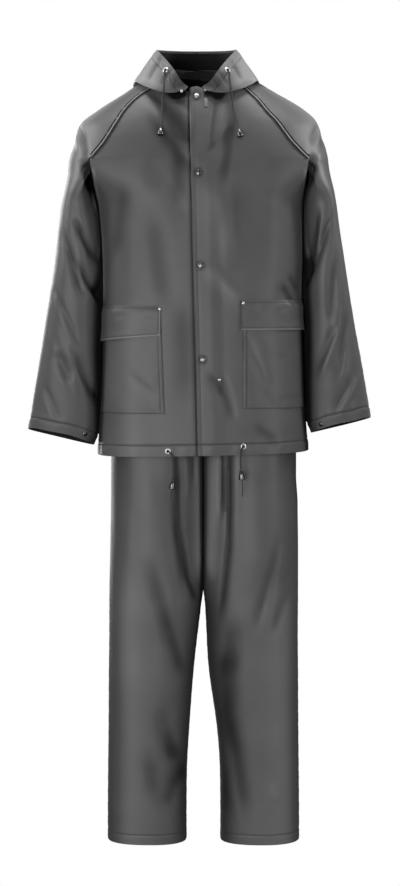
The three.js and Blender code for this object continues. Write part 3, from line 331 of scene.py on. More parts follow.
# Profile of the bells: radius, share of the height, and millimetres more
bellProfile = [(0.4, 0, -0.6), (3.4, 0, -0.8), (5.4, 0, -0.5), (6.1, 0, 0.6), (6.1, 0, 2.0), (5.7, 0, 4.0),
               (4.9, 0.55, 0), (3.5, 0.84, 0), (2.5, 1, 0), (1.4, 1, 0)]


# Smooth curve through places, by the straight distance between them, in a number of even steps
# or in steps of a length.
def smoothLine(places, count=None, step=None):
    places = np.array(places, float)
    keys = travelled(places)
    at = np.linspace(0, keys[-1], count or int(keys[-1] / step) + 2)
    return np.stack([curveThrough(keys, column, at) for column in places.T], -1)


# A braid: the radius swells where strands that wind both ways cross over each other.
def braidRadii(distance, shape):
    angle = np.linspace(0, 2 * np.pi, shape["sides"], endpoint=False)[None]
    wind = 2 * np.pi * distance[:, None] / shape["pitch"]
    half = shape["strands"] / 2
    weave = np.sin(half * angle + wind) * np.sin(half * angle - wind)
    return shape["radius"] * (1 - shape["relief"] * (0.5 - 0.5 * weave))


# A turned shape: each (radius, height) of the profile is carried round the axis from the foot.
def turnedShape(foot, axis, profile, sides):
    helper = np.array([1.0, 0, 0]) if abs(axis[0]) < 0.8 else np.array([0, 1.0, 0])
    first = unit(np.cross(axis, helper))
    ring = circleWays(first, np.cross(axis, first), sides)
    points = foot + profile[:, 1, None, None] * axis + profile[:, 0, None, None] * ring
    return points.reshape(-1, 3), ringFaces(len(profile), sides)


# One cord from its eyelet to its bell, the bell, and the tail that comes out of the bell and
# ends in a melted tip.
def makeDrawcord(name, facts):
    path = smoothLine(facts["route"], step=cordShape["step"])
    distance = travelled(path)
    cord = meshObject("braided_cord_" + name, *tube(path, braidRadii(distance, cordShape)), [braid], sharp=80)
    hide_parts("cord_" + name)
    hang, height, tail = unit(np.array(facts["hang"], float)), facts["bellHeight"], facts["tail"]
    foot = path[-1] + hang * (height + 0.4)
    profile = smoothLine([(radius, share * height + more) for radius, share, more in bellProfile],
                         count=cordShape["bellSides"])
    profile[:, 0] = np.maximum(profile[:, 0], 0.02)
    bell = meshObject("bell_" + name, *turnedShape(foot, -hang, profile, cordShape["bellSides"]),
                      [darkMetal], sharp=60)
    down = np.linspace(0.5, tail, max(6, int(tail / 0.8)))
    sway = 0.9 * np.sin(down / 7)[:, None] * np.array([1.0, 0.3, 0])
    radii = braidRadii(down, cordShape) * cordShape["tailShare"] * (1 - 0.5 * bump(down - tail, 1.0))[:, None]
    tailPiece = meshObject("cord_tail_" + name, *tube(foot + down[:, None] * hang + sway, radii), [braid],
                           sharp=80)
    for piece in (bell, tailPiece):
        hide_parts("cord_end_" + name)


for cordName, cordFacts in drawcords.items():
    makeDrawcord(cordName, cordFacts)
print("drawcords are made")


# Cloth pieces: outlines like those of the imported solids, in millimetres

wall = 1.5
armpitZ, jacketHemZ, crotchZ, legHemZ, waistZ = -142, -717, -703, -1501, -424
trouserMiddle = 5
closing = {"topX": -9, "topZ": -12, "bottomX": 8, "bottomZ": -717, "overlap": 14,
           "lapWidth": 26, "lift": 3.2}
neck = {"front": -12, "frontRaglan": 8, "shoulder": 29, "backRaglan": 28, "back": 26}

lean = table("z x", [
    (-730, 4), (-320, 3), (armpitZ, -4), (30, -4)])
yoke = table("z halfWidth front back power", [
    (-210, 270, 156, 150, 3.4), (armpitZ, 262, 148, 145, 3.0), (-118, 256, 143, 143, 2.8),
    (-91, 246, 136, 139, 2.5), (-70, 239, 127, 134, 2.3), (-54, 227, 119, 129, 2.1),
    (-31, 196, 104, 119, 2.0), (-7, 154, 84, 106, 2.0), (12, 121, 64, 92, 2.1), (30, 80, 40, 72, 2.2)])
torso = table("z halfWidth front back power", [
    (-730, 212, 160, 152, 3.4), (-690, 208, 160, 150, 3.4), (-600, 202, 160, 146, 3.5),
    (-450, 198, 160, 142, 3.5), (-320, 199, 158, 144, 3.5), (-232, 203, 154, 146, 3.3),
    (armpitZ, 211, 148, 145, 3.0)])
frontRaglan = table("z right left", [
    (armpitZ, 211, 210), (-110, 184, 180), (-71, 160, 152), (-50, 147, 133), (-27, 127, 115),
    (-6, 102, 94), (8, 84, 80)])
backRaglan = table("z right left", [
    (armpitZ, 211, 211), (-110, 184, 184), (-70, 156, 156), (-30, 116, 116), (0, 84, 84), (28, 56, 56)])
sleeve = table("z clear outer middleY halfDepth power tilt", [
    (-690, 2.2, 341, -30, 47, 2.2, 0.25), (-640, 2.0, 335, -28, 54, 2.3, 0.22),
    (-560, 3.4, 323, -25, 66, 2.4, 0.17), (-450, 4.6, 306.5, -19, 81, 2.5, 0.11),
    (-380, 2.2, 296.5, -15, 90, 2.5, 0.07), (-300, 1.6, 286, -10, 96, 2.6, 0.04),
    (-220, 1.6, 276, -3, 101, 2.7, 0.02), (-180, 1.8, 270, -1, 103, 2.8, 0.01),
    (armpitZ, 2, 262, 0, 104, 3.0, 0)])
leg = table("z inner outer front back power", [
    (legHemZ, 34, 190, 74, 86, 2.5), (-1440, 34, 190, 79, 91, 2.5), (-1357, 33, 189, 85, 97, 2.6),
    (-1285, 29, 188, 92, 103, 2.6), (-1171, 19, 187, 103, 111, 2.7), (-1100, 12, 186, 109, 116, 2.8),
    (-1039, 5.5, 186, 117, 121, 2.9), (-1003, 2.2, 186, 119, 123, 3.0), (-900, 1.6, 185, 122, 128, 3.0),
    (-800, 2.6, 184, 125, 134, 2.9), (crotchZ, 3.6, 184, 126, 138, 2.8)])
seatBack = float(along(torso, "back", -650)) - wall - 0.3
hips = table("z halfWidth front back power", [
    (crotchZ, 184, 126, 138, 2.8), (-650, 181, 126, seatBack, 2.6), (-560, 175, 122, 131, 2.5),
    (-470, 160, 112, 108, 2.4), (waistZ, 150, 105, 98, 2.3)])
hoodMiddle = -9
hood = table("at face neckAt foldX foldZ foldOut belly edgeX edgeY edgeZ", [
    (0, -1, 0.12, 13, -10, 15, 0, 11, -102, -3), (1, -1, 0.4, 42, -15, 19, 1, 27, -100, 9),
    (2, -1, 0.7, 66, -8, 23, 2, 43, -88, 31), (3, -1, 1.1, 89, 5, 21, 2, 60, -64, 54),
    (4, -1, 1.8, 108, 14, 14, 3, 77, -22, 76), (5, 1, 2.7, 112, 0, 14, 5, 74, 30, 82),
    (6, 1, 3.4, 80, -56, 13, 18, 46, 72, 85), (7, 1, 4, 0, -90, 14, 28, 0, 90, 86)])

# Folds: from one end to the other, half width, depth (a ridge is negative), and how much
# steeper one side is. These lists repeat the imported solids' own folds.
foldColumns = "x0 z0 x1 z1 width depth skew"
bodyFolds = table(foldColumns, [
    (88, -486, 128, -575, 12, 3, 0), (-60, -60, -95, -190, 22, 4, 0), (70, -50, 100, -170, 24, 4, 0)])
backFolds = table(foldColumns, [
    (-110, -120, -60, -300, 26, 6, 0), (115, -130, 70, -290, 24, 6, 0), (-20, -420, 30, -640, 28, 4, 0)])
rightSleeveFolds = table(foldColumns, [
    (-226, -140, -212, -240, 12, 8, 0), (-244, -267, -205, -338, 12, 8, 0),
    (-269, -299, -234, -397, 12, 7, 0), (-236, -353, -191, -420, 12, 8, 0),
    (-283, -524, -259, -568, 12, 6, 0), (-244, -534, -209, -613, 12, 6, 0)])
leftSleeveFolds = table(foldColumns, [
    (222, -133, 211, -190, 12, 8, 0), (226, -255, 205, -371, 12, 8, 0), (250, -267, 209, -375, 12, 8, 0),
    (263, -347, 259, -444, 12, 7, 0), (289, -454, 279, -543, 12, 6, 0)])
trouserFolds = table(foldColumns, [
    (-42, -728, -33, -910, 14, 8, 0), (-33, -910, -10, -1000, 13, 7, 0), (51, -734, 51, -885, 14, 8, 0),
    (51, -885, 33, -1037, 13, 7, 0), (-88, -955, -58, -1080, 16, 7, 0), (-58, -1080, -31, -1147, 15, 6, 0),
    (-68, -1275, -47, -1324, 15, 7, 0), (-96, -1338, -88, -1393, 14, 6, 0),
    (-47, -1366, -68, -1415, 14, 6, 0), (147, -896, 110, -1047, 15, 7, 0),
    (167, -936, 142, -1059, 14, 7, 0), (68, -1104, 57, -1228, 16, 7, 0), (57, -1228, 84, -1421, 15, 7, 0)])
seatFolds = table(foldColumns, [
    (-58, -785, -122, -905, 20, 7, 0), (70, -790, 125, -910, 20, 8, 0),
    (-102, -1126, -62, -1234, 18, 6, 0), (110, -1160, 75, -1270, 18, 7, 0),
    (-110, -1330, -140, -1430, 16, 6, 0)])


# Depth of all folds at places of the front view: along each fold a bell across its line,
# deepest in its middle and faded past its two ends.
def foldDepth(folds, x, z):
    lengthX = folds["x1"] - folds["x0"]
    lengthZ = folds["z1"] - folds["z0"]
    length = np.hypot(lengthX, lengthZ)
    fromX = x[..., None] - folds["x0"]
    fromZ = z[..., None] - folds["z0"]
    t = (fromX * lengthX + fromZ * lengthZ) / length**2
    aside = (fromX * lengthZ - fromZ * lengthX) / length
    taper = smooth((t + 0.25) / 0.5) * smooth((1.25 - t) / 0.5)
    width = folds["width"] * (1 + folds["skew"] * np.sign(aside))
    return (folds["depth"] * taper * bump(aside, width)).sum(-1)


# Waves of hanging cloth, with set directions and lengths of 60 to 260 mm
waveMaker = np.random.default_rng(7)
waves = {"ways": unit(waveMaker.normal(size=(14, 3)) * np.array([1.0, 1.0, 0.45])),
         "lengths": np.linspace(60, 260, 14), "phases": waveMaker.uniform(0, 6.28, 14)}


# Sum of the waves at places, each wave's height in proportion to its length.
def unevenness(points, height):
    turns = (points @ (waves["ways"] / waves["lengths"][:, None] * 2 * np.pi).T) + waves["phases"]
    return height * (np.sin(turns) * waves["lengths"] / 260).sum(-1) / 2


# Places from their three parts, spread to one shape.
def placesOf(x, y, z):
    return np.stack(np.broadcast_arrays(x, y, z), -1)


# Half width, depth and power of a table's section at a height; the face is -1 at the front.
def sectionAt(rows, face, z):
    depth = np.where(np.asarray(face) < 0, along(rows, "front", z), along(rows, "back", z))
    return along(rows, "halfWidth", z), depth, along(rows, "power", z)


# Point of a rounded level section: cosine and sine of the angle, each raised to 2 / power.
def sectionPoint(halfWidth, depth, power, angle):
    turned = np.radians(angle)
    return (halfWidth * np.maximum(0, np.cos(turned)) ** (2 / power),
            depth * np.maximum(0, np.sin(turned)) ** (2 / power))


# Angle at which a section reaches a distance from the middle: the section's formula turned round.
def sectionAngle(halfWidth, power, across):
    share = np.minimum(1, np.abs(across) / halfWidth)
    return np.degrees(np.arccos(share ** (power / 2)))


# Depth of a section at a distance from the middle.
def sectionDepth(halfWidth, depth, power, across):
    return sectionPoint(halfWidth, depth, power, sectionAngle(halfWidth, power, across))[1]


# X of the jacket's middle, which leans with the height.
def jacketMiddle(z):
    return along(lean, "x", z)


# Shoulder surface: the yoke's section at the height, put on its side of the middle.
def yokePoint(side, face, angle, z):
    across, deep = sectionPoint(*sectionAt(yoke, face, z), angle)
    return placesOf(jacketMiddle(z) + side * across, face * deep, z)


# Angle at which the shoulders' section reaches a distance from the middle.
def yokeAngle(across, z):
    return sectionAngle(along(yoke, "halfWidth", z), along(yoke, "power", z), across)


# Distance of a raglan seam from the jacket's middle.
def raglanAcross(side, face, z):
    return along(frontRaglan if face < 0 else backRaglan, "right" if side < 0 else "left", z)


# X of the line of snaps, straight from its top to its bottom.
def closingX(z):
    return mix(closing["topX"], closing["bottomX"],
               (z - closing["topZ"]) / (closing["bottomZ"] - closing["topZ"]))


# Rise of the upper front over the lower one: full at the lap, and flat beyond its width.
def lapLift(x, z):
    return closing["lift"] * (1 - smooth((x - closingX(z) - closing["overlap"] - 2) / closing["lapWidth"]))


# Below the armpits body and sleeves are blended into the shoulders over this height. There the
# underarm dips, and the widest places lie a little back. The legs' tops rise into the hips.
shoulderBlend = {"height": 95, "dip": 22, "widestY": 22, "lowest": -205, "gap": 0.3, "underarm": -730}
hipBlend = {"height": 12, "rise": 3}


# Jacket body below the armpits: from the middle to the raglan column by distance, then to the
# side by the section's angle, and blended into the shoulders.
def torsoPoint(side, face, column, z, middleX):
    corner = raglanAcross(side, face, armpitZ)
    under = 1 - smooth((armpitZ - z) / shoulderBlend["height"])
    section = halfWidth, depth, power = sectionAt(torso, face, z)
    top = sectionAt(yoke, face, np.maximum(z, shoulderBlend["lowest"]))
    cornerAcross = np.minimum(0.9 * halfWidth, corner)
    start = side * (middleX(z) - jacketMiddle(z))
    inner, turn = np.minimum(column, 1), np.maximum(column - 1, 0)
    innerAcross, innerTop = mix(start, cornerAcross, inner), mix(start, corner, inner)
    cornerAngle = sectionAngle(halfWidth, power, cornerAcross)
    outerAcross, outerDeep = sectionPoint(*section, mix(cornerAngle, 0, turn))
    outerTop = mix(corner, along(torso, "halfWidth", armpitZ), smooth(turn))
    isInner = column <= 1
    across = np.where(isInner, innerAcross, outerAcross)
    deep = np.where(isInner, sectionDepth(*section, innerAcross), outerDeep)
    topAcross = np.where(isInner, innerTop, outerTop)
    topDeep = np.where(isInner, sectionDepth(*top, innerTop), sectionDepth(*top, corner) * (1 - turn))
    x = jacketMiddle(z) + side * mix(across, topAcross, under)
    y = shoulderBlend["widestY"] * (1 - under) * (1 - deep / depth) + face * mix(deep, topDeep, under)
    down = np.where(isInner, 0, shoulderBlend["dip"] * np.sin(turn * np.pi / 2) * under)
    return placesOf(x, y, z - down)


# Level ring between an inner and an outer distance: turn 0 is its inner side, 1 its front, 2 its
# outer side and 3 its back. Gives the face, the quarters from the inner side, which places lie
# in the first quarter, and the ring's distances across and deep.
def ringPoint(turn, inner, outer, depth, power):
    face = np.where(turn <= 2, -1, 1)
    share = np.where(turn <= 2, turn, 4 - turn)
    isInner = share <= 1
    across, deep = sectionPoint((outer - inner) / 2, depth, power, 90 * np.where(isInner, share, 2 - share))
    return face, share, isInner, (outer + inner) / 2 + np.where(isInner, -across, across), deep


# Sleeve ring: turn 0 at the underarm seam, 1 front, 2 outer seam, 3 back, 4 underarm again.
def sleevePoint(side, turn, z):
    under = 1 - smooth((armpitZ - z) / shoulderBlend["height"])
    clear, outer, halfDepth, power, middleY, tilt = (
        along(sleeve, name, z) for name in ("clear", "outer", "halfDepth", "power", "middleY", "tilt"))
    inner = along(torso, "halfWidth", np.maximum(z, shoulderBlend["underarm"])) + clear
    outer = outer - side * jacketMiddle(z)
    face, share, isInner, ringAcross, deep = ringPoint(turn, inner, outer, halfDepth, power)
    top = np.zeros(np.broadcast(turn, z).shape + (2,))
    level = np.maximum(z, shoulderBlend["lowest"])
    armpitAcross = along(torso, "halfWidth", armpitZ) + 2 * shoulderBlend["gap"]
    for way in (-1, 1):
        corner = raglanAcross(side, way, armpitZ)
        cornerAngle = yokeAngle(corner, level)
        cornerDeep = np.abs(yokePoint(side, way, cornerAngle, level)[..., 1])
        head = yokePoint(side, way, mix(cornerAngle, 0, np.clip(share - 1, 0, 1)), level)
        topAcross = np.where(isInner, mix(armpitAcross, corner, smooth(share)),
                             np.abs(head[..., 0] - jacketMiddle(armpitZ)))
        topDeep = np.where(isInner, cornerDeep * share, np.abs(head[..., 1]))
        both = np.stack(np.broadcast_arrays(topAcross, topDeep, top[..., 0])[:2], -1)
        top = np.where((face == way)[..., None], both, top)
    dip = np.where(isInner, shoulderBlend["dip"] * np.cos(share * np.pi / 2) * under, 0)
    acrossNow = mix(ringAcross, top[..., 0], under)
    y = mix(middleY + face * deep, face * top[..., 1], under)
    return placesOf(jacketMiddle(z) + side * acrossNow, y,
                    z - dip + tilt * (acrossNow - (outer + inner) / 2) - 0.6 * tilt * y)


# Trouser leg ring, with the same turns as a sleeve: 0 at the inseam.
def legPoint(side, turn, z):
    under = 1 - smooth((crotchZ - z) / hipBlend["height"])
    inner, outer, power = (along(leg, name, z) for name in ("inner", "outer", "power"))
    depth = np.where(turn <= 2, along(leg, "front", z), along(leg, "back", z))
    face, share, isInner, ringAcross, deep = ringPoint(turn, inner, outer, depth, power)
    hip = hipWide, hipDepth, hipPower = sectionAt(hips, face, crotchZ)
    angle = mix(sectionAngle(hipWide, hipPower, inner), 0, np.clip(share - 1, 0, 1))
    headAcross, headDeep = sectionPoint(*hip, angle)
    topAcross = np.where(isInner, inner, headAcross)
    topDeep = np.where(isInner, hipDepth * share, headDeep)
    rise = hipBlend["rise"] * np.where(isInner, 1 - np.cos(share * np.pi / 2), 2 - share)
    return placesOf(trouserMiddle + side * mix(ringAcross, topAcross, under),
                    face * mix(deep, topDeep, under), z + under * np.maximum(0, rise))


# Trousers above the crotch, from the middle seam (turn 1 or 3) to the outer seam (2).
def hipPoint(side, turn, z):
    share = np.clip(np.where(turn <= 2, turn - 1, 3 - turn), 0, 1)
    face = np.where(turn <= 2, -1, 1)
    section = sectionAt(hips, face, z)
    angle = mix(sectionAngle(section[0], section[2], along(leg, "inner", crotchZ)), 0, share)
    across, deep = sectionPoint(*section, angle)
    return placesOf(trouserMiddle + side * across, face * deep, z)


# Normals of a grid: the cross product of the steps to the neighbours that are there, and
# turned away from the middle of the piece.
def gridNormals(points, closed=False):
    # each point's neighbour a step away, or the point itself where there is none
    def neighbour(rowStep, columnStep):
        moved = np.roll(points, (-rowStep, -columnStep), (0, 1))
        if rowStep > 0:
            moved[-1] = np.nan
        if rowStep < 0:
            moved[0] = np.nan
        if columnStep > 0:
            moved[:, -1] = points[:, 1] if closed else np.nan
        if columnStep < 0:
            moved[:, 0] = points[:, -2] if closed else np.nan
        return np.where(np.isnan(moved), points, moved)

    rightWay = neighbour(0, 1) - neighbour(0, -1)
    upWay = neighbour(1, 0) - neighbour(-1, 0)
    normals = unit(np.cross(rightWay, upWay))
    outward = points - np.nanmean(points.reshape(-1, 3), axis=0)
    outward[..., 2] = 0
    turned = np.nansum(normals * outward) < 0
    return (-normals if turned else normals), turned


# Distance in millimetres from the first column of each row, measured on the cloth.
def acrossDistance(points):
    steps = np.linalg.norm(np.diff(np.nan_to_num(points), axis=1), axis=-1)
    steps = np.where(np.isnan(points[:, 1:, 0]), 0, steps)
    return np.concatenate([np.zeros((len(points), 1)), np.cumsum(steps, axis=1)], axis=1)


# Distance from the first row of each column, measured on the cloth.
def upDistance(points):
    return acrossDistance(points.transpose(1, 0, 2)).T


# A closed shell: the grid, the grid moved in by the cloth's thickness, and a rim of quads
# along every edge. The inner faces show the backing, but the turned rows show the cloth.
def clothShell(node, surface, cells=None, thickness=1.4, turned=slice(0)):
    points, normals = surface["points"], surface["normals"]
    rows, columns = points.shape[:2]
    cells = np.ones((rows - 1, columns - 1), bool) if cells is None else cells
    number = np.arange(rows * columns).reshape(rows, columns)
    quads = np.stack([number[:-1, :-1], number[:-1, 1:], number[1:, 1:], number[1:, :-1]], -1)
    padded = np.pad(cells, 1)
    beside = (padded[:-2, 1:-1], padded[1:-1, 2:], padded[2:, 1:-1], padded[1:-1, :-2])
    edges = np.vstack([quads[cells & ~there][:, [k, (k + 1) % 4]] for k, there in enumerate(beside)])
    outer = quads[cells]
    inner = outer[:, ::-1] + rows * columns
    rim = np.hstack([edges[:, ::-1], edges + rows * columns])
    faces = np.vstack([outer, inner, rim])
    if surface["turned"]:
        faces = faces[:, ::-1]
    backs = np.ones(cells.shape, int)
    backs[turned] = 0
    kinds = np.concatenate([np.zeros(len(outer), int), backs[cells], np.zeros(len(rim), int)])
    flat = points.reshape(-1, 3)
    every = np.vstack([flat, flat - normals.reshape(-1, 3) * thickness])
    maps = np.tile(np.stack([acrossDistance(points), upDistance(points)], -1).reshape(-1, 2) * mm, (2, 1))
    tone = np.tile(np.clip(np.broadcast_to(surface["tone"], points.shape[:2]), -1, 1).ravel(), 2)
    used, faces = np.unique(faces, return_inverse=True)
    piece = meshObject(node.replace("jacket_", "") + "_cloth", every[used], faces.reshape(-1, 4),
                       [coatedCloth, backing], kinds, maps[used], tone=tone[used])
    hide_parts(node)


# Rising numbers that include the given places closely, for a stitched groove or a hem.
def closeRows(low, high, step, places=(), reach=6.0):
    near = [p + d for p in places for d in np.linspace(-reach, reach, 9)]
    every = np.concatenate([np.linspace(low, high, int(round((high - low) / step)) + 1), near])
    every = np.unique(np.round(every[(every >= low) & (every <= high)], 3))
    keep = np.concatenate([[True], np.diff(every) > 0.45])
    keep[-1] = True
    return every[keep]


# A surface is its points and outward normals, after its folds are pressed in along the plain
# form's normals. The last column of a mirrored one lies in the middle plane.
def surfaceOf(plain, depth, closed=False, tone=0.0, mirrored=False):
    # outward normals, level with the middle plane in a mirrored one's last column
    def normalsOf(points):
        normals, turned = gridNormals(points, closed)
        if mirrored:
            normals[:, -1, 0] = 0
            normals[:, -1] = unit(normals[:, -1])
        return normals, turned

    points = plain - normalsOf(plain)[0] * depth[..., None]
    normals, turned = normalsOf(points)
    return {"points": points, "normals": normals, "turned": turned, "tone": tone}


# Tone of a trough: the photograph's wide, soft light leaves troughs darker than lamps do, so
# the cloth is toned down as it goes in, fully at the given depth, and ridges are paler.
def troughTone(folds, full=6.0, most=0.6, pale=0.22):
    return most * smooth(folds / full) - pale * smooth(-folds / full)


# A stitched line: a narrow groove, with the cloth a little full on both sides.
def groove(distance, depth=0.8, width=1.6):
    return depth * bump(distance, width) - 0.35 * depth * bump(np.abs(distance) - 5, 3.5)


# A seam's edge turns in, and the cloth beside it draws up in small uneven puckers.
def seamEdge(distance, runLength, depth=0.9, pucker=0.35):
    wave = np.sin(runLength / 2.9) * np.sin(runLength / 7.3 + 1) * bump(distance - 5, 8)
    return depth * bump(distance, 2.4) - pucker * wave


neckShares = np.linspace(0, 1, 41)[1:]
hemBand = 22
frontPanel = {"rowStep": 4.4, "middleColumns": 60, "sideColumns": 34}
bodyRows = closeRows(jacketHemZ, armpitZ, frontPanel["rowStep"], (jacketHemZ + hemBand,), 5)
hemCells = slice(10)  # rows of cells in a turned hem


# Height at which a raglan seam ends on the neck's edge.
def seamTop(face):
    return neck["frontRaglan" if face < 0 else "backRaglan"]


# One body panel: rows up from the hem to the armpit, then on to the neck; columns from the
# middle edge out. Above the armpit only the columns inside the raglan seam are there.
def bodyPlain(side, face, middleX, columns):
    lower = torsoPoint(side, face, columns[None], bodyRows[:, None], middleX)
    # the hem rises a little towards the wearer's left
    lower[..., 2] += 0.02 * lower[..., 0] * np.clip((-680 - bodyRows[:, None]) / 37, 0, 1)
    share = neckShares[:, None]
    u = np.minimum(columns, 1)[None]
    seamZ = mix(armpitZ, seamTop(face), share)
    z = mix(mix(armpitZ, neck["front" if face < 0 else "back"], share), seamZ, u * u)
    across = mix(side * (middleX(z) - jacketMiddle(z)), raglanAcross(side, face, seamZ), u)
    upper = yokePoint(np.where(across < 0, -side, side), face, yokeAngle(across, z), z)
    if side > 0 and face < 0:  # the upper front ends in a small arched tab above the top snap
        arch = np.interp(u, [0, 1 / 14, 1 / 7, 3 / 14, 2 / 7], [4, 8.2, 9, 5.5, 0])
        upper[..., 2] += arch * np.clip((share - 0.83) / 0.17, 0, 1)
    upper[:, columns > 1] = np.nan
    return np.vstack([lower, upper])


# Cells that are there: all below the armpit, and only those inside the raglan seam above it.
def bodyCells(columns):
    cells = np.ones((len(bodyRows) + len(neckShares) - 1, len(columns) - 1), bool)
    cells[len(bodyRows) - 1:, columns[1:] > 1.0001] = False
    return cells


chestCreases = table(foldColumns, [
    (-97, -67, -21, -157, 12, 2.4, 0.3), (-84, -56, -14, -142, 12, -1.8, 0),
    (60, -81, 12, -132, 10, 2.4, -0.3), (-104, 2, -26, -112, 13, 3.2, 0.35),
    (-62, -24, -18, -70, 9, -2.2, 0.2), (-80, -170, -24, -262, 20, 1.2, 0.4),
    (-44, -130, -38, -215, 16, 2.6, 0), (-96, -250, -70, -420, 22, 2.4, 0),
    (28, -30, 18, -120, 8, 3.0, -0.3), (44, -40, 30, -150, 11, -2.6, 0.2),
    (62, -60, 44, -190, 14, 3.0, 0.3), (20, -200, 58, -330, 20, -2.4, 0.2),
    (70, -190, 66, -360, 20, 1.8, -0.3), (128, -190, 122, -380, 24, 1.6, 0.3),
    (12, -352, 78, -420, 13, -2.2, 0), (20, -560, 42, -596, 7, 2.0, 0.4),
    (-48, -8, -38, -118, 28, 4.0, 0.2), (40, -566, 62, -640, 12, 2.6, 0.3),
    (104, -660, 146, -690, 12, 2.4, 0.3), (160, -388, 182, -424, 8, 3.4, 0.3),
    (172, -370, 190, -396, 7, 2.6, 0), (-150, -200, -164, -330, 18, 2.6, 0),
    (-30, -430, -26, -600, 24, 2.0, 0)])
backCreases = table(foldColumns, [
    (-150, -170, -100, -260, 14, 4, 0.3), (152, -165, 104, -262, 14, 4, -0.3),
    (-60, -90, -20, -220, 20, 3, 0), (60, -95, 26, -240, 20, 3, 0.2), (-120, -360, -70, -520, 22, 4, 0.3),
    (96, -340, 130, -560, 22, 4, -0.3), (10, -250, -16, -420, 24, -3, 0),
    (-160, -560, -140, -690, 18, 4, 0), (150, -600, 120, -700, 16, 4, 0.2), (60, -600, 70, -712, 18, 4, 0),
    (-70, -620, -84, -712, 16, 3.4, 0)])


# Lower edge of the hood's wings as the front view shows it
wingEdge = table("x z", [
    (-150, 12), (-92, 9), (-74, -1), (-56, -13), (-28, -8), (-10, -12), (14, -11), (40, -16), (54, 2),
    (82, 9), (120, 12)])


# The right front's paler stripe, as the photograph shows it: a bell across it, low down.
def litBand(x, z):
    return 0.17 * bump(x + 138, 24) * smooth((-400 - z) / 60)


# Shade below the hood's wings: full at their lower edge and faded out 10 to 16 mm below it, with
# none at the closing.
def wingShade(x, z, faces):
    edge = along(wingEdge, "z", np.clip(x, -150, 120), "x")
    fromMiddle = np.abs(x + 7)
    deep = mix(16, 10, smooth((fromMiddle - 45) / 30))
    return 0.97 * smooth((z - edge + deep) / 8) * faces * smooth((fromMiddle - 9) / 6)


# Depth evened out along each column near the armpit's height, where the shoulders' slope
# meets the body's. The given share keeps the seam edges where they are.
def evened(plain, keep, passes=40):
    y = plain[..., 1]
    weight = np.nan_to_num(bump(plain[..., 2] - armpitZ, 40) * keep * 0.5)
    for _ in range(passes):
        above = np.vstack([y[1:], y[-1:]])
        below = np.vstack([y[:1], y[:-1]])
        middle = np.where(np.isnan(above) | np.isnan(below), y, (above + below) / 2)
        y = y + weight * (middle - y)
    plain[..., 1] = y
    return plain


# Relief of a body panel's edges: the seams, the stitched hem, and the channel that the cord in
# the hem draws up a little. Waves are two lengths and the second one's shift.
def edgeRelief(fromEdge, run, across, hemGroove, hemFull, waves):
    first, second, shift = waves
    puckers = 0.8 * np.sin(across / first) * np.sin(across / second + shift) * bump(run - 13, 10)
    return (seamEdge(fromEdge, run) + groove(run - hemBand, hemGroove)
            - hemFull * bump(run - 11, 6.5) + puckers)


snapHeights = (-21, -171, -349, -531)
frontU = np.concatenate([[0, 0.008, 0.02, 0.034], np.linspace(0.05, 1, frontPanel["middleColumns"]),
                         1 + np.linspace(0, 1, frontPanel["sideColumns"] + 1)[1:]])


# A front: folds, creases, unevenness, hem and seam edges, then the raised lap with the cloth
# pressed in round each snap, or on the lower front the shade along the lap's edge.
def makeFront(side, name):
    plain = bodyPlain(side, -1, lambda z: closingX(z) - side * closing["overlap"], frontU)
    plain = evened(plain, smooth((1 - frontU) / 0.12)[None])
    safe = np.nan_to_num(plain)
    x, z = safe[..., 0], safe[..., 2]
    creases = foldDepth(chestCreases, x, z)
    depth = foldDepth(bodyFolds, x, z) + creases + unevenness(safe, 0.85) * smooth((z + 735) / 60)
    # painted shade in the creases and under the hood's wings; painted light on the side edge where it
    # turns towards the sleeve and painted shade along it lower down; the painted light of the stripe
    fromSide = along(torso, "halfWidth", np.clip(z, jacketHemZ, armpitZ)) - side * (x - jacketMiddle(z))
    lower = smooth((-400 - z) / 50)
    tone = (troughTone(creases, 4.5) + wingShade(x, z, 1.0)
            - 0.5 * bump(fromSide - 3.5, 3.0) * smooth((armpitZ - 14 - z) / 14) * (1 - lower)
            + 0.95 * smooth((13 - fromSide) / 8) * lower - litBand(x, z))
    run, u = upDistance(plain), acrossDistance(plain)
    fromSeam = np.nanmax(np.where(np.isnan(plain[..., 0]), np.nan, u), axis=1, keepdims=True) - u
    depth += edgeRelief(fromSeam, run, u, 0.6, 0.5, (6.1, 15.7, 0.6))
    # painted shade in the hem's stitched groove and along the seam
    tone += 0.45 * bump(run - hemBand, 1.3) + 0.8 * bump(fromSeam, 1.8)
    if side > 0:
        # painted shade in a ring round each snap
        for snapZ in snapHeights:
            fromSnap = np.hypot(x - closingX(snapZ), z - snapZ)
            depth += 0.7 * bump(fromSnap - 7, 3)
            tone += 0.5 * bump(fromSnap - 7.5, 2.6)
        depth = depth - lapLift(x, z) + 1.2 * bump(u, 1.0)
        depth = depth - 0.9 * bump(u - 3.4, 2.2) + 0.7 * bump(u - 7.5, 1.8)
    else:
        fromLap = x - closingX(z) + closing["overlap"]
        depth += 1.4 * bump(fromLap + 1, 4)
        # painted shade along the lap's edge
        tone += 0.9 * bump(fromLap + 1.2, 2.4)
    surface = surfaceOf(plain, depth, tone=tone)
    clothShell("jacket_front_" + name, surface, bodyCells(frontU), turned=hemCells)
    return surface


frontLeft, frontRight = (makeFront(side, name) for side, name in ((1, "left"), (-1, "right")))

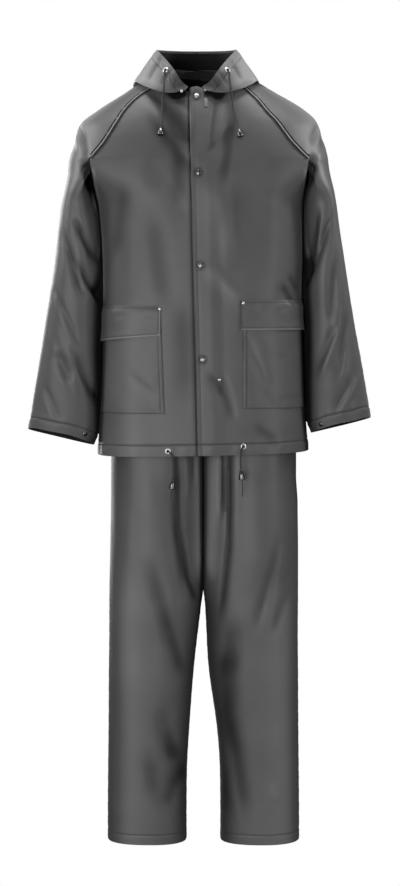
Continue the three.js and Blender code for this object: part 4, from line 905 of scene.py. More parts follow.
backU = np.concatenate([np.linspace(0, 1, 44), 1 + np.linspace(0, 1, 30)[1:]])
leftBack, rightBack = (bodyPlain(side, 1, jacketMiddle, backU) for side in (1, -1))
backPlain = np.concatenate([rightBack[:, :0:-1], leftBack], axis=1)
backPlain = evened(backPlain, smooth((1 - np.concatenate([backU[:0:-1], backU])) / 0.12)[None])
backSafe = np.nan_to_num(backPlain)
backDepth = sum(foldDepth(rows, backSafe[..., 0], backSafe[..., 2]) for rows in (backFolds, backCreases))
backRun, backArc = upDistance(backPlain), acrossDistance(backPlain)
arcThere = np.where(np.isnan(backPlain[..., 0]), np.nan, backArc)
arcLow, arcHigh = (end(arcThere, axis=1, keepdims=True) for end in (np.nanmin, np.nanmax))
backEdge = np.minimum(backArc - arcLow, arcHigh - backArc)
backDepth = (backDepth + unevenness(backSafe, 1.0)
             + edgeRelief(backEdge, backRun, backArc, 0.9, 0.9, (6.3, 14.9, 0)))
backNeck = np.nanmax(backRun, axis=0, keepdims=True) - backRun
# painted shade in the hem's stitched groove, along the seams, and under the hood at the neck
backPaintedShading = (0.45 * bump(backRun - hemBand, 1.5) + 0.8 * bump(backEdge, 1.8)
            + np.nan_to_num(0.97 * smooth((20 - backNeck) / 8) * (backPlain[..., 2] > -20)))
backSurface = surfaceOf(backPlain, backDepth, tone=backPaintedShading)
halfCells = bodyCells(backU)
clothShell("jacket_back", backSurface, np.hstack([halfCells[:, ::-1], halfCells]), turned=hemCells)
print("jacket body is made")

# Sleeves: one ring of columns round each arm, cut into a front and a back half. Where two
# values stand for the sides, -1 is the right one and 1 the left.
# Among the facts: how strong the painted light on each sleeve's outer side is
sleeveFacts = {"lowest": -690, "rowStep": 4.4, "counts": (38, 40, 24, 22), "cuffStitch": 21, "span": 220,
               "cuffZ": {-1: -690, 1: -668}, "frontUp": {-1: 0.5, 1: -1.5}, "backDown": {-1: 0.6, 1: -1.2},
               "flare": {-1: 3, 1: 0}, "aside": 7, "paintedLight": {-1: 1, 1: 0.7}, "ridgeAside": 11}
sleeveRows = closeRows(sleeveFacts["lowest"], armpitZ, sleeveFacts["rowStep"],
                       (sleeveFacts["lowest"] + sleeveFacts["cuffStitch"],), 5)
sleeveCreases = {
    -1: [(-242, -268, -203, -337, 7, 5.5, 0.3), (-268, -292, -232, -397, 8, 3.8, 0.3),
         (-234, -352, -196, -420, 7, 5, 0.3), (-290, -480, -254, -600, 12, 1.6, 0.3),
         (-248, -520, -207, -613, 9, 3.8, 0.3), (-222, -160, -212, -196, 8, 5, 0.3),
         (-286, -400, -240, -500, 9, 3.2, 0.3), (-306, -590, -280, -650, 8, 2.6, 0.2),
         (-243, -72, -219, -136, 5, 5.0, 0.1)],
    1: [(224, -255, 203, -372, 7, 5, -0.3), (250, -262, 209, -376, 8, 3.2, -0.3),
        (266, -320, 250, -470, 12, 1.9, 0.3), (290, -430, 270, -570, 11, 1.8, 0.3),
        (219, -136, 209, -165, 7, 5, -0.3), (262, -470, 226, -560, 9, 3.6, 0.3),
        (298, -570, 266, -632, 8, 3, 0.2), (232, -68, 214, -112, 7, 3.0, -0.2),
        (244, -76, 236, -118, 5, 2.4, -0.2)]}
# Beside each crease a paler ridge stands up, further out
for side, rows in sleeveCreases.items():
    aside = side * sleeveFacts["ridgeAside"]
    ridges = [(x0 + aside, z0 + 3, x1 + aside, z1 + 3, 7, -0.75 * deep, 0)
              for x0, z0, x1, z1, _, deep, _ in rows]
    sleeveCreases[side] = table(foldColumns, rows + ridges)
# Width of the black shade on the sleeve beside the body, by height
sleeveShade = table("z width", [
    (-690, 10), (-620, 16), (-560, 18), (-500, 22), (-430, 20), (-380, 17), (-330, 8), (-250, 4),
    (-215, 9), (-185, 20), (-158, 30), (-150, 22), (-142, 1)])
# How much closer each sleeve's outer side hangs than the solid's, by height
sleeveCloser = table("z right left", [
    (-690, 0, 0), (-600, 0, 2), (-455, 0, 5), (-340, 0, 7), (-222, 0, 9), (-170, 3, 9), (-135, 4, 6),
    (-108, 6, 4), (-76, 2, 2), (-44, 9, 0), (-18, 9, 0), (20, 0, 0)])
sleeveBackCreases = {
    side: table(foldColumns, [
        (side * 232, -150, side * 214, -230, 10, 6, 0.3), (side * 262, -250, side * 220, -350, 12, 5, 0.3),
        (side * 286, -340, side * 236, -430, 12, 5, -0.3), (side * 290, -440, side * 244, -540, 12, 4, 0.3),
        (side * 300, -560, side * 262, -630, 10, 3, 0)]) for side in (-1, 1)}


# Turns of a ring's columns: each quarter gets its count, at even distances on the section.
def ringTurns(pointAt, side, z, counts):
    dense = np.linspace(0, 4, 4001)
    distance = travelled(pointAt(side, dense, np.full(len(dense), float(z))))
    turns = [0.0]
    for quarter, count in enumerate(counts):
        low, high = np.interp([quarter, quarter + 1], dense, distance)
        turns.extend(np.interp(np.linspace(low, high, count + 1)[1:], distance, dense))
        turns[-1] = quarter + 1.0
    return np.array(turns)


# A ring's front and back halves as two shells. Above the lower rows only the outer quarters
# go on.
def ringShells(node, surface, turn, lowerRows, turned=slice(0)):
    cells = np.ones((len(surface["points"]) - 1, len(turn) - 1), bool)
    middles = (turn[1:] + turn[:-1]) / 2
    cells[lowerRows - 1:, (middles < 1) | (middles > 3)] = False
    for half, keep in (("front", middles < 2), ("back", middles > 2)):
        clothShell(f"{node}_{half}", surface, cells & keep[None], turned=turned)


# A sleeve: its ring with the cuff set, carried on over the shoulder, moved to where it hangs,
# then pressed with folds, creases, the stitched cuff and the seams.
def makeSleeve(side, name, folds):
    lowest, span, stitch = (sleeveFacts[fact] for fact in ("lowest", "span", "cuffStitch"))
    turn = ringTurns(sleevePoint, side, -420, sleeveFacts["counts"])
    fromOuter, fromInner, isFront = np.abs(turn - 2)[None], np.minimum(turn, 4 - turn)[None], turn < 2
    rise = (sleeveRows - lowest)[:, None]
    lift = (sleeveFacts["cuffZ"][side] - lowest) * smooth((span - rise) / span)
    lower = sleevePoint(side, turn[None], sleeveRows[:, None] + lift)
    # the cuff's front rides up and its back hangs down, so that a little of the lining shows
    slant = np.sin(turn * np.pi / 2)[None] * smooth((50 - rise) / 50)
    up = sleeveFacts["frontUp"][side] + 0.7 * np.sin(turn * 9)[None]
    lower[..., 2] += slant * np.where(slant > 0, up, sleeveFacts["backDown"][side])
    # the cuff flares at its outer end and stands off the body at its inner end
    flare = sleeveFacts["flare"][side] * smooth((40 - rise) / 40) * bump(fromOuter, 0.7)
    aside = sleeveFacts["aside"] * smooth((24 - rise) / 24) * bump(fromInner, 0.6)
    lower[..., 0] += side * (flare + aside)
    lower[..., 2] -= flare
    share = neckShares[:, None]
    upper = np.full((len(neckShares), len(turn), 3), np.nan)
    for face, mask in ((-1, (turn >= 1) & (turn <= 2)), (1, (turn > 2) & (turn <= 3))):
        u = np.abs(2 - turn[mask])[None]
        seamZ = mix(armpitZ, seamTop(face), share)
        high = mix(mix(armpitZ, neck["shoulder"], share), seamZ, u * u)
        seamAngle = yokeAngle(raglanAcross(side, face, seamZ), seamZ)
        upper[:, mask] = yokePoint(side, face, seamAngle * u, high)
    plain = evened(np.vstack([lower, upper]), smooth((1 - fromOuter) / 0.15))
    closer = along(sleeveCloser, name, np.clip(np.nan_to_num(plain[..., 2]), lowest, 20))
    plain[..., 0] -= side * closer * smooth((1 - fromOuter) / 0.8)
    safe = np.nan_to_num(plain)
    x, z = safe[..., 0], safe[..., 2]
    large = np.where((turn > 0.3) & isFront, smooth((2 - turn) / 0.4), 0)[None] * foldDepth(folds, x, z)
    frontAll = (smooth(turn / 0.35) * smooth((2 - turn) / 0.3))[None]
    behind = (smooth((turn - 2) / 0.4) * smooth((4 - turn) / 0.4))[None]
    small = (frontAll * foldDepth(sleeveCreases[side], x, z)
             + behind * foldDepth(sleeveBackCreases[side], x, z))
    depth = 0.8 * large + small + 0.8 * unevenness(safe, 1.0)
    level = np.clip(z, lowest, armpitZ)
    fromBody = side * (x - jacketMiddle(z)) - along(torso, "halfWidth", level)
    width = along(sleeveShade, "width", level)
    # painted shade in the creases, in a black band beside the body, and under the hood's wings
    tone = troughTone(0.2 * large + small, 6.5, 0.62, 0.3)
    tone += 0.97 * smooth((width - fromBody) / (0.5 * width + 2)) * (z < armpitZ)
    tone += wingShade(x, z, ((turn > 1) & isFront)[None] * (z > armpitZ))
    # the sleeve's inner side leans on the body, most at the back, but not at the cuff
    fromCuff = np.concatenate([rise, np.full((len(neckShares), 1), 999)])
    leaning = np.where(isFront, bump(turn, 0.3) * 0.7,
                       (0.7 + bump(3.7 - turn, 0.35) * 1.2) * smooth((turn - 3) / 0.3))[None]
    leaning = leaning * smooth((-150 - z) / 30) * (along(sleeve, "clear", level) + 1.2)
    plain[..., 0] -= side * leaning * smooth((fromCuff - 16) / 24)
    run, u = upDistance(plain), acrossDistance(plain)
    depth += groove(run - stitch, 0.8) - 0.6 * bump(run - 12, 7)
    depth += 0.5 * np.sin(u / 5.7) * np.sin(u / 13.1) * bump(run - stitch, 8)
    # seams: underarm, raglan above the armpit, and the line on top of the shoulder and arm
    perTurn = np.maximum(u[:, -1:] / 4, 40)
    outerSeam, underSeam = fromOuter * perTurn, fromInner * perTurn
    raglan = np.where(z > armpitZ - 4, np.abs(fromOuter - 1) * 90, 99)
    depth += seamEdge(outerSeam, run, 0.7) + seamEdge(underSeam, run, 0.7) + seamEdge(raglan, run, 0.9)
    # painted shade in the cuff's stitched groove and along the seams
    tone += 0.45 * bump(run - stitch, 1.3) + 0.7 * bump(outerSeam, 1.6) + 0.7 * bump(underSeam, 1.6)
    # painted light on the outer side below the shoulder and on top of it
    outer = isFront[None] * sleeveFacts["paintedLight"][side]
    tone -= 0.52 * bump(outerSeam - 9, 13) * outer * smooth((-160 - z) / 60)
    tone -= 0.45 * smooth((turn - 1.3) / 0.5)[None] * outer * smooth((z + 118) / 40)
    surface = surfaceOf(plain, depth, closed=True, tone=tone)
    ringShells("sleeve_" + name, surface, turn, len(sleeveRows))
    return surface


sleeveRight = makeSleeve(-1, "right", rightSleeveFolds)
sleeveLeft = makeSleeve(1, "left", leftSleeveFolds)
print("sleeves are made")

# Trousers. Where two values stand for the sides, -1 is the right one and 1 the left.
# shadeReach, edge, ridge and outerShade set the legs' painted shade and light
trouserFacts = {"rowStep": 5.4, "counts": (46, 50, 26, 24), "hemStitch": 20, "top": -460.4, "topRows": 46,
                "shadeReach": {-1: 0.62, 1: 0.75}, "edge": {-1: (0.55, 0.85), 1: (0.4, 0.45)},
                "ridge": {-1: (0.3, 0.75), 1: (0.4, 0.5)}, "outerShade": {-1: 0, 1: 0.16},
                "kneeSwell": {-1: -2, 1: 7}, "outerSwell": 3.6, "swellFrom": {-1: 360, 1: 60}}
trouserCreases = table(foldColumns, [
    (-46, -690, -40, -860, 7, 6, 0.45), (-40, -860, -22, -960, 7, 6, 0.45),
    (-24, -950, -8, -1006, 6, 5, 0.4), (-14, -690, -13, -770, 5, 4, 0.3),
    (-58, -790, -34, -990, 11, 4, 0.4), (-30, -720, -26, -800, 5, -3, 0), (38, -690, 37, -830, 5, 6, -0.3),
    (53, -690, 52, -880, 7, 7, -0.45), (52, -880, 36, -1030, 8, 5, -0.45), (66, -720, 62, -900, 10, -3, 0),
    (26, -700, 24, -900, 6, -3, 0), (-96, -935, -66, -1050, 14, 2.8, 0.3),
    (-68, -1040, -34, -1155, 16, 3.6, 0.3), (-78, -1225, -54, -1322, 20, 3.2, 0.3),
    (-54, -1300, -32, -1372, 17, 3.2, 0.3), (-102, -1310, -90, -1420, 18, 2.2, 0.3),
    (-40, -1350, -66, -1430, 17, 2.6, 0.3), (150, -892, 112, -1046, 10, 2.2, 0.3),
    (170, -986, 140, -1070, 9, 1.8, 0), (58, -1060, 50, -1150, 18, 4.2, -0.3),
    (46, -1120, 54, -1290, 17, 3.4, -0.3), (60, -1270, 84, -1440, 16, 3.4, -0.3),
    (36, -1330, 58, -1440, 16, 2.8, 0.3), (-150, -800, -146, -1200, 30, -3, 0),
    (140, -1380, 148, -1410, 7, -2.4, 0), (-104, -780, -96, -960, 24, -2.6, 0),
    (104, -760, 100, -960, 24, -2.6, 0)])
seatCreases = table(foldColumns, [
    (-30, -760, -90, -830, 12, 5, 0.3), (40, -760, 100, -830, 12, 5, -0.3),
    (-120, -960, -70, -1060, 16, 4, 0.3), (128, -960, 84, -1070, 16, 4, -0.3),
    (-80, -1230, -120, -1320, 14, 4, 0), (90, -1240, 130, -1350, 14, 4, 0.3)])


# A leg: its ring, carried on over the hip, leaned on the other leg above the knee and swelled
# where the photograph shows it fuller, then pressed with folds, creases, hem and seams.
def makeLeg(side, name):
    stitch = trouserFacts["hemStitch"]
    turn = ringTurns(legPoint, side, -1000, trouserFacts["counts"])
    fromOuter, fromInner, isFront = np.abs(turn - 2)[None], np.minimum(turn, 4 - turn)[None], (turn < 2)[None]
    legRows = closeRows(legHemZ, crotchZ, trouserFacts["rowStep"], (legHemZ + stitch,), 5)
    hipRows = np.linspace(crotchZ, trouserFacts["top"], trouserFacts["topRows"])[1:]
    lower = legPoint(side, turn[None], legRows[:, None])
    upper = np.full((len(hipRows), len(turn), 3), np.nan)
    mask = (turn >= 1) & (turn <= 3)
    upper[:, mask] = hipPoint(side, turn[mask][None], hipRows[:, None])
    # the rows just above the legs rise with their top, then even out
    upper[..., 2] += (lower[-1, :, 2] - crotchZ)[None] * (1 - smooth((hipRows - crotchZ) / 40))[:, None]
    plain = np.vstack([lower, upper])
    safe = np.nan_to_num(plain)
    x, z = safe[..., 0], safe[..., 2]
    shape, crease = (np.where((turn <= 2)[None], foldDepth(front, x, z), foldDepth(back, x, z))
                     for front, back in ((trouserFolds, seatFolds), (trouserCreases, seatCreases)))
    nearEdge = smooth(fromInner / 0.25) * smooth(fromOuter / 0.2)
    away = smooth(np.minimum(fromInner, fromOuter) / 0.5) * smooth((crotchZ + 30 - z) / 60)
    depth = 0.25 * away * shape + nearEdge * crease * 0.8
    # painted shade in the troughs and painted light on the ridges
    tone = troughTone(depth, 6.5, 0.68)
    # inner sides shade each other
    inward = np.where(isFront, 0.6 * smooth((trouserFacts["shadeReach"][side] - turn) / 0.5),
                      0.7 * smooth((turn - 3.5) / 0.4))
    tone += inward * smooth((-940 - z) / 90)
    tone += 0.95 * isFront * smooth((0.12 - turn) / 0.07) * smooth((z + 1010) / 40)
    # lower down, painted light on the middle of each front and painted shade along its outer edge
    low = smooth((-900 - z) / 140)
    edgeTone, edgeReach = trouserFacts["edge"][side]
    edge = edgeTone * smooth((-700 - z) / 30) + 0.1 * low
    tone = tone - 0.22 * low * bump(turn - 1.3, 0.36) + edge * smooth((edgeReach - fromOuter) / edgeReach)
    # the jacket's hem shades the outer edge below it
    underHem = 0.45 * smooth((z + 900) / 160) * smooth((-690 - z) / 20)
    tone += underHem * smooth((0.3 - fromOuter) / 0.2)
    # above the fork, painted light makes a pale ridge on both sides of the middle groove
    ridgeAt, ridgeTone = trouserFacts["ridge"][side]
    tone -= ridgeTone * bump(turn - ridgeAt, 0.17) * isFront * smooth((z + 1000) / 80)
    # painted shade on the outer part of the front
    tone += trouserFacts["outerShade"][side] * smooth((turn - 1.4) / 0.3) * isFront
    depth += unevenness(safe, 1.0) * nearEdge
    gap = along(leg, "inner", np.clip(z, legHemZ, crotchZ))
    leaning = np.where(isFront, bump(turn, 0.12), bump(4 - turn, 0.6)) * smooth((z + 1016) / 26)
    swell = (trouserFacts["kneeSwell"][side] * bump(z + 1150, 95) * bump(fromInner, 0.7)
             - trouserFacts["outerSwell"] * bump(fromOuter, 0.8)
             * smooth((-760 - z) / trouserFacts["swellFrom"][side]))
    plain[..., 0] -= side * (leaning * (1 + 0.8 / gap) * (gap - 0.12) + swell)
    run, u = upDistance(plain), acrossDistance(plain)
    perTurn = np.maximum(u[:, -1:] / 4, 60)
    outerSeam, inseam = fromOuter * perTurn, fromInner * perTurn
    depth += groove(run - stitch, 0.5) - 0.2 * bump(run - 10, 6)
    depth += seamEdge(outerSeam, run, 0.8) + seamEdge(inseam, run, 0.6)
    # painted shade in the hem's stitched groove and along the seams
    tone += 0.24 * bump(run - stitch, 1.3) + 0.7 * bump(outerSeam, 1.8) + 0.7 * bump(inseam, 1.6)
    surface = surfaceOf(plain, depth, closed=True, tone=tone)
    ringShells("trouser_" + name, surface, turn, len(legRows), hemCells)
    return surface


legRight, legLeft = (makeLeg(side, name) for side, name in ((-1, "right"), (1, "left")))
print("trousers are made")


# Hood: its neck edge sits on the jacket's, then it rolls out, folds over and opens above
hoodShape = {"neckRise": 1.3, "frontRoll": (11, 8), "backRoll": (3, 17), "throatAt": 0.16,
             "throatAcross": 5, "throatRows": 2, "columns": 110, "rows": 70, "channel": 19, "perAt": 42.0,
             "perUp": 110}


# Jacket's neck edge: 0 at the front, 1 front seam, 2 shoulder, 3 back seam, 4 back middle.
def neckEdge(side, at):
    face = -1 if at <= 2 else 1
    onBody = at < 1 or at > 3
    u = min(at, 4 - at) if onBody else abs(2 - at)
    middleZ = neck["front" if face < 0 else "back"] if onBody else neck["shoulder"]
    seamZ = seamTop(face)
    z = np.float64(mix(middleZ, seamZ, u * u))
    across = raglanAcross(side, face, seamZ)
    return yokePoint(side, face, yokeAngle(across * u, z) if onBody else yokeAngle(across, seamZ) * u, z)


# A place moved level and straight out from the middle of the neck.
def pushOut(place, distance):
    out = place - np.array([hoodMiddle, -8.0, 0])
    out[2] = 0
    return place + unit(out) * distance


# The six places that each of the hood's curves runs through, from the neck to the open edge.
def hoodStations(side, row):
    at, face, neckAt, foldX, foldZ, foldOut, belly, edgeX, edgeY, edgeZ = row
    clear = max(0, 1 - at / hoodShape["throatRows"]) if side < 0 else 0

    # place on the shoulders at a distance from the middle
    def onYoke(across, z):
        return yokePoint(-side if across < 0 else side, face, yokeAngle(across, z), np.float64(z))

    seam = neckEdge(side, neckAt + hoodShape["throatAt"] * clear)
    seam[2] += hoodShape["neckRise"] + (lapLift(seam[0], seam[2]) if side > 0 else 0)
    out, up = hoodShape["frontRoll" if face < 0 else "backRoll"]
    roll = pushOut(seam, out) + np.array([0, 0, up])
    shift = side * (hoodMiddle - jacketMiddle(0.0))
    foldAcross = foldX + hoodShape["throatAcross"] * clear + shift
    fold = pushOut(onYoke(foldAcross, foldZ), foldOut)
    middleAcross = (abs(seam[0] - jacketMiddle(0.0)) + foldAcross) / 2
    middle = pushOut(onYoke(middleAcross, (seam[2] + foldZ) / 2 + 4), 0.5 * foldOut + 3)
    edge = np.array([hoodMiddle + side * (edgeX + hoodShape["throatAcross"] * clear), edgeY, edgeZ])
    return np.stack([seam, roll, middle, fold, pushOut(mix(fold, edge, 0.45), belly), edge])


# The plain hood: smooth curves through the stations round the neck, then up each column, with
# rows closer at the channel's stitching and at the open edge.
def hoodPlain(side):
    stations = np.stack([hoodStations(side, row) for row in np.stack(list(hood.values()), -1)])
    ats = np.linspace(0, 7, hoodShape["columns"] + 1)
    tracks = np.stack([[curveThrough(hood["at"], stations[:, k, axis], ats) for axis in range(3)]
                       for k in range(6)])
    columns = []
    for track in tracks.transpose(2, 0, 1):
        keys = travelled(track)
        share = np.unique(np.concatenate([np.linspace(0, 1, hoodShape["rows"] - 13),
                                          1 - (hoodShape["channel"] + np.linspace(-5, 5, 7)) / keys[-1],
                                          1 - np.array([0.7, 1.6, 2.6, 3.6, 5.0, 7.0]) / keys[-1]]))
        rows = np.linspace(0, 1, hoodShape["rows"])
        at = np.interp(rows, np.linspace(0, 1, len(share)), share) * keys[-1]
        columns.append(np.stack([curveThrough(keys, way, at) for way in track.T], -1))
    return np.stack(columns, 1), ats


# Creases of the hood: from a place round the neck and share of the way up, to another
hoodCreases = {
    -1: [(2.6, 0.35, 3.4, 0.95, 8, 5), (1.7, 0.45, 2.2, 0.98, 7, 3.5), (3.6, 0.2, 4.4, 0.7, 9, 4),
         (0.6, 0.5, 1.3, 0.9, 6, 2.4), (2.2, 0.1, 3.0, 0.4, 7, 3), (5.2, 0.3, 5.6, 0.9, 14, 5),
         (6.3, 0.2, 6.5, 0.9, 14, 5)],
    1: [(2.4, 0.3, 3.1, 0.9, 8, 4), (1.6, 0.5, 1.9, 0.98, 7, 3), (3.5, 0.2, 4.3, 0.8, 9, 4),
        (0.7, 0.5, 1.2, 0.95, 6, 2.4), (5.0, 0.3, 5.5, 0.9, 14, 5), (6.2, 0.2, 6.4, 0.9, 14, 5)]}


# Half of the hood: the plain form pressed with creases, the stitched channel and its middle seam.
def makeHood(side, name):
    plain, ats = hoodPlain(side)
    perAt, perUp, channel = (hoodShape[fact] for fact in ("perAt", "perUp", "channel"))
    run, u = upDistance(plain), acrossDistance(plain)
    fromEdge = run[-1:] - run
    creases = table(foldColumns, [(at0 * perAt, up0 * perUp, at1 * perAt, up1 * perUp, width, deep, 0)
                                  for at0, up0, at1, up1, width, deep in hoodCreases[side]])
    lowest = run[plain[..., 2].argmin(0), np.arange(len(ats))][None]
    edgeKeep = smooth((run - lowest - 6) / 25) * smooth(ats / 0.5) * smooth((7 - ats) / 0.4)
    depth = 0.55 * foldDepth(creases, ats[None] * perAt, run / run[-1:] * perUp) * edgeKeep
    # painted shade in the creases
    tone = troughTone(depth, 2.6, 0.45)
    depth += unevenness(plain, 0.5) * edgeKeep
    depth += groove(fromEdge - channel, 0.5) - 0.9 * bump(fromEdge - 10, 6.0) * smooth(ats / 0.5)
    depth += 0.5 * np.sin(u / 5.3) * np.sin(u / 12.7 + side) * bump(fromEdge - channel, 9)
    middleSeam = (7 - ats)[None] * perAt
    depth += seamEdge(middleSeam, run, 0.8) + 0.5 * bump(run - 1, 3)
    surface = surfaceOf(plain, depth, mirrored=True)
    # painted shade in the channel's stitched groove, along the middle seam, under the roll and in the
    # throat, and painted light out on the wings
    fromMiddle = np.abs(surface["points"][..., 0] + 7)
    throat = smooth((60 - fromMiddle) / 22) * smooth((36 - surface["points"][..., 2]) / 22)
    tone += 0.35 * bump(fromEdge - channel, 1.3) + 0.6 * bump(middleSeam, 1.6)
    tone += 0.97 * smooth((26 - run) / 10)
    tone += (0.62 * throat - 0.2 - 0.36 * smooth((fromMiddle - 66) / 26)) * smooth((run - 40) / 20)
    surface.update(tone=tone, fromEdge=fromEdge)
    clothShell("hood_" + name, surface, turned=slice(-5, None))
    return surface


hoodRight, hoodLeft = (makeHood(side, name) for side, name in ((-1, "right"), (1, "left")))
print("hood is made")

# Waist casing: gathered by its elastic, hidden under the jacket
casing = {"bottom": -459.2, "columns": 360, "rows": 12, "gathers": 18, "depth": 2}
casingTurn = np.linspace(0, 360, casing["columns"] + 1)
casingZ = np.linspace(casing["bottom"], waistZ, casing["rows"])[:, None]
casingSide = np.where(casingTurn < 180, 1, -1)
casingFace = np.where((casingTurn < 90) | (casingTurn > 270), 1, -1)
gather = casing["depth"] * np.cos(casing["gathers"] * np.radians(casingTurn))
casingWidth, casingDepth, casingPower = sectionAt(hips, casingFace, casingZ)
casingAcross, casingDeep = sectionPoint(casingWidth + gather, casingDepth + gather, casingPower,
                                        np.abs(90 - casingTurn % 180)[None])
casingPlain = placesOf(trouserMiddle + casingSide * casingAcross, casingFace * casingDeep, casingZ)
casingSurface = surfaceOf(casingPlain, 0.4 * np.sin(casingZ / 3.0) * np.ones(len(casingTurn)), closed=True)
clothShell("waist_casing", casingSurface, thickness=2.2)

# Smooth value of a grid at places between its rows and columns, from the four nearest of
# each: cubic, and through every point of the grid.
def sample(grid, i, j):
    i, j = np.broadcast_arrays(np.asarray(i, float), np.asarray(j, float))
    rows, columns = grid.shape[:2]
    row = np.clip(np.floor(i).astype(int), 0, rows - 2)
    column = np.clip(np.floor(j).astype(int), 0, columns - 2)

    # shares of the four neighbours at a fraction of a step
    def weights(t):
        return [(-t**3 + 2 * t**2 - t) / 2, (3 * t**3 - 5 * t**2 + 2) / 2,
                (-3 * t**3 + 4 * t**2 + t) / 2, (t**3 - t**2) / 2]

    down, over = weights(i - row), weights(j - column)
    total = 0
    for a in range(4):
        for b in range(4):
            here = grid[np.clip(row + a - 1, 0, rows - 1), np.clip(column + b - 1, 0, columns - 1)]
            total = total + (down[a] * over[b])[..., None] * here
    return total


# Grid carried on in straight lines past the ends of the rows that are cut short.
def carriedOn(grid):
    full = grid.copy()
    columns = np.arange(grid.shape[1])
    for row, here in zip(full, grid):
        known = np.flatnonzero(~np.isnan(here[:, 0]))
        for end, inward, past in ((known[-1], -1, columns > known[-1]), (known[0], 1, columns < known[0])):
            steps = np.abs(columns[past] - end)[:, None]
            row[past] = here[end] + steps * (here[end] - here[end + inward])
    return full


for panel in (frontLeft, frontRight, backSurface, sleeveLeft, sleeveRight, legLeft, legRight, hoodLeft,
              hoodRight):
    panel["full"] = carriedOn(panel["points"])
    panel["out"] = unit(carriedOn(panel["normals"]))


# Places on a surface's cloth at fractions of its rows and columns, lifted off it, and the ways
# out of it there.
def onCloth(surface, i, j, lift=0.0):
    out = unit(sample(surface["out"], i, j))
    return sample(surface["full"], i, j) + out * np.asarray(lift, float)[..., None], out


# Row and column of places given in the front view: the nearest point of the grid that faces
# the way asked for, then three corrections along the grid's own steps.
def findPlace(surface, x, z, face=-1):
    x, z = np.atleast_1d(np.asarray(x, float)), np.atleast_1d(np.asarray(z, float))
    grid = surface["full"]
    facing = (surface["out"][..., 1] * face > 0.1) & ~np.isnan(surface["points"][..., 0])
    gap = np.hypot(grid[..., 0][..., None] - x, grid[..., 2][..., None] - z)
    gap = gap - 0.3 * face * grid[..., 1][..., None]
    gap[~facing] = 1e9
    nearest = gap.reshape(-1, len(x)).argmin(0)
    i, j = np.divmod(nearest, grid.shape[1])
    i, j = i.astype(float), j.astype(float)
    for _ in range(3):
        here = sample(grid, i, j)
        stepI = (sample(grid, i + 0.1, j) - here) * 10
        stepJ = (sample(grid, i, j + 0.1) - here) * 10
        missX, missZ = x - here[:, 0], z - here[:, 2]
        size = stepI[:, 0] * stepJ[:, 2] - stepI[:, 2] * stepJ[:, 0]
        i = i + (missX * stepJ[:, 2] - missZ * stepJ[:, 0]) / size
        j = j + (stepI[:, 0] * missZ - stepI[:, 2] * missX) / size
    return i, j


# Pockets and flaps: patches in the front panels' own rows and columns, lifted off them. A
# pocket's inner edge runs between two distances, and a flap's lower edge between two heights.
patches = {
    "right": {"side": -1, "panel": frontRight, "innerX": (-70, -78), "bottom": -636, "flapTop": -427,
              "flapLow": (-484, -497), "flapX": -78.0, "flapEdgeShading": -0.4},
    "left": {"side": 1, "panel": frontLeft, "innerX": (80, 80), "bottom": -626, "flapTop": -416,
             "flapLow": (-473, -474), "flapX": 75.0, "flapEdgeShading": 0.8}}
patchForms = {"pocket": {"rows": 44, "height": 175, "outer": 1.533, "stitches": (2.2, 8.2)},
              "flap": {"rows": 16, "height": 62, "outer": 1.55, "stitches": (4.5,)}}
patchCreases = {"pocket": table(foldColumns, [
    (-166, -470, -150, -600, 14, 2.2, 0), (-110, -500, -96, -620, 16, -1.6, 0),
    (-130, -560, -86, -600, 9, 1.8, 0.3), (82, -484, 118, -568, 7, 2.8, 0.4),
    (150, -608, 196, -604, 6, 2.4, 0.3), (96, -560, 128, -626, 8, 1.8, 0),
    (170, -500, 186, -560, 9, 1.8, 0), (120, -500, 150, -520, 8, -1.4, 0)]),
    "flap": table(foldColumns, [
    (-100, -440, -96, -490, 8, 1.2, 0), (-150, -440, -158, -490, 9, 1.6, 0.2),
    (108, -420, 112, -470, 8, 1.4, 0), (150, -418, 162, -468, 8, 1.6, 0.2),
    (176, -420, 184, -452, 5, 1.6, 0)])}


# Places of a patch: rows by height, columns by distance from its inner edge to its outer column.
def patchPlaces(panel, z, innerX, outerColumn, shares):
    i = np.interp(z, bodyRows, np.arange(len(bodyRows)))
    every = np.arange(len(frontU))
    places = np.empty(z.shape)
    for k in range(len(z)):
        line = sample(panel["full"], np.full(len(every), np.mean(i[k])), every)
        sideways = np.abs(line[:, 0] - line[0, 0])
        last = int(sideways.argmax())
        wanted = np.abs(np.mean(innerX[k]) - line[0, 0])
        start = np.interp(wanted, sideways[:last + 1], every[:last + 1])
        stop = np.interp(outerColumn, frontU, every)
        distance = travelled(line)
        low, high = np.interp([start, stop], every, distance)
        places[k] = np.interp(mix(low, high, shares), distance, every)
    return i, places


# Shares of a width in millimetres, closer together near both of its edges.
def edgeShares(count, width):
    near = np.array([0, 1.2, 2.6, 4.0, 5.4, 7.0, 9.0]) / width
    return np.unique(np.concatenate([near, np.linspace(12 / width, 1 - 12 / width, count), 1 - near]))


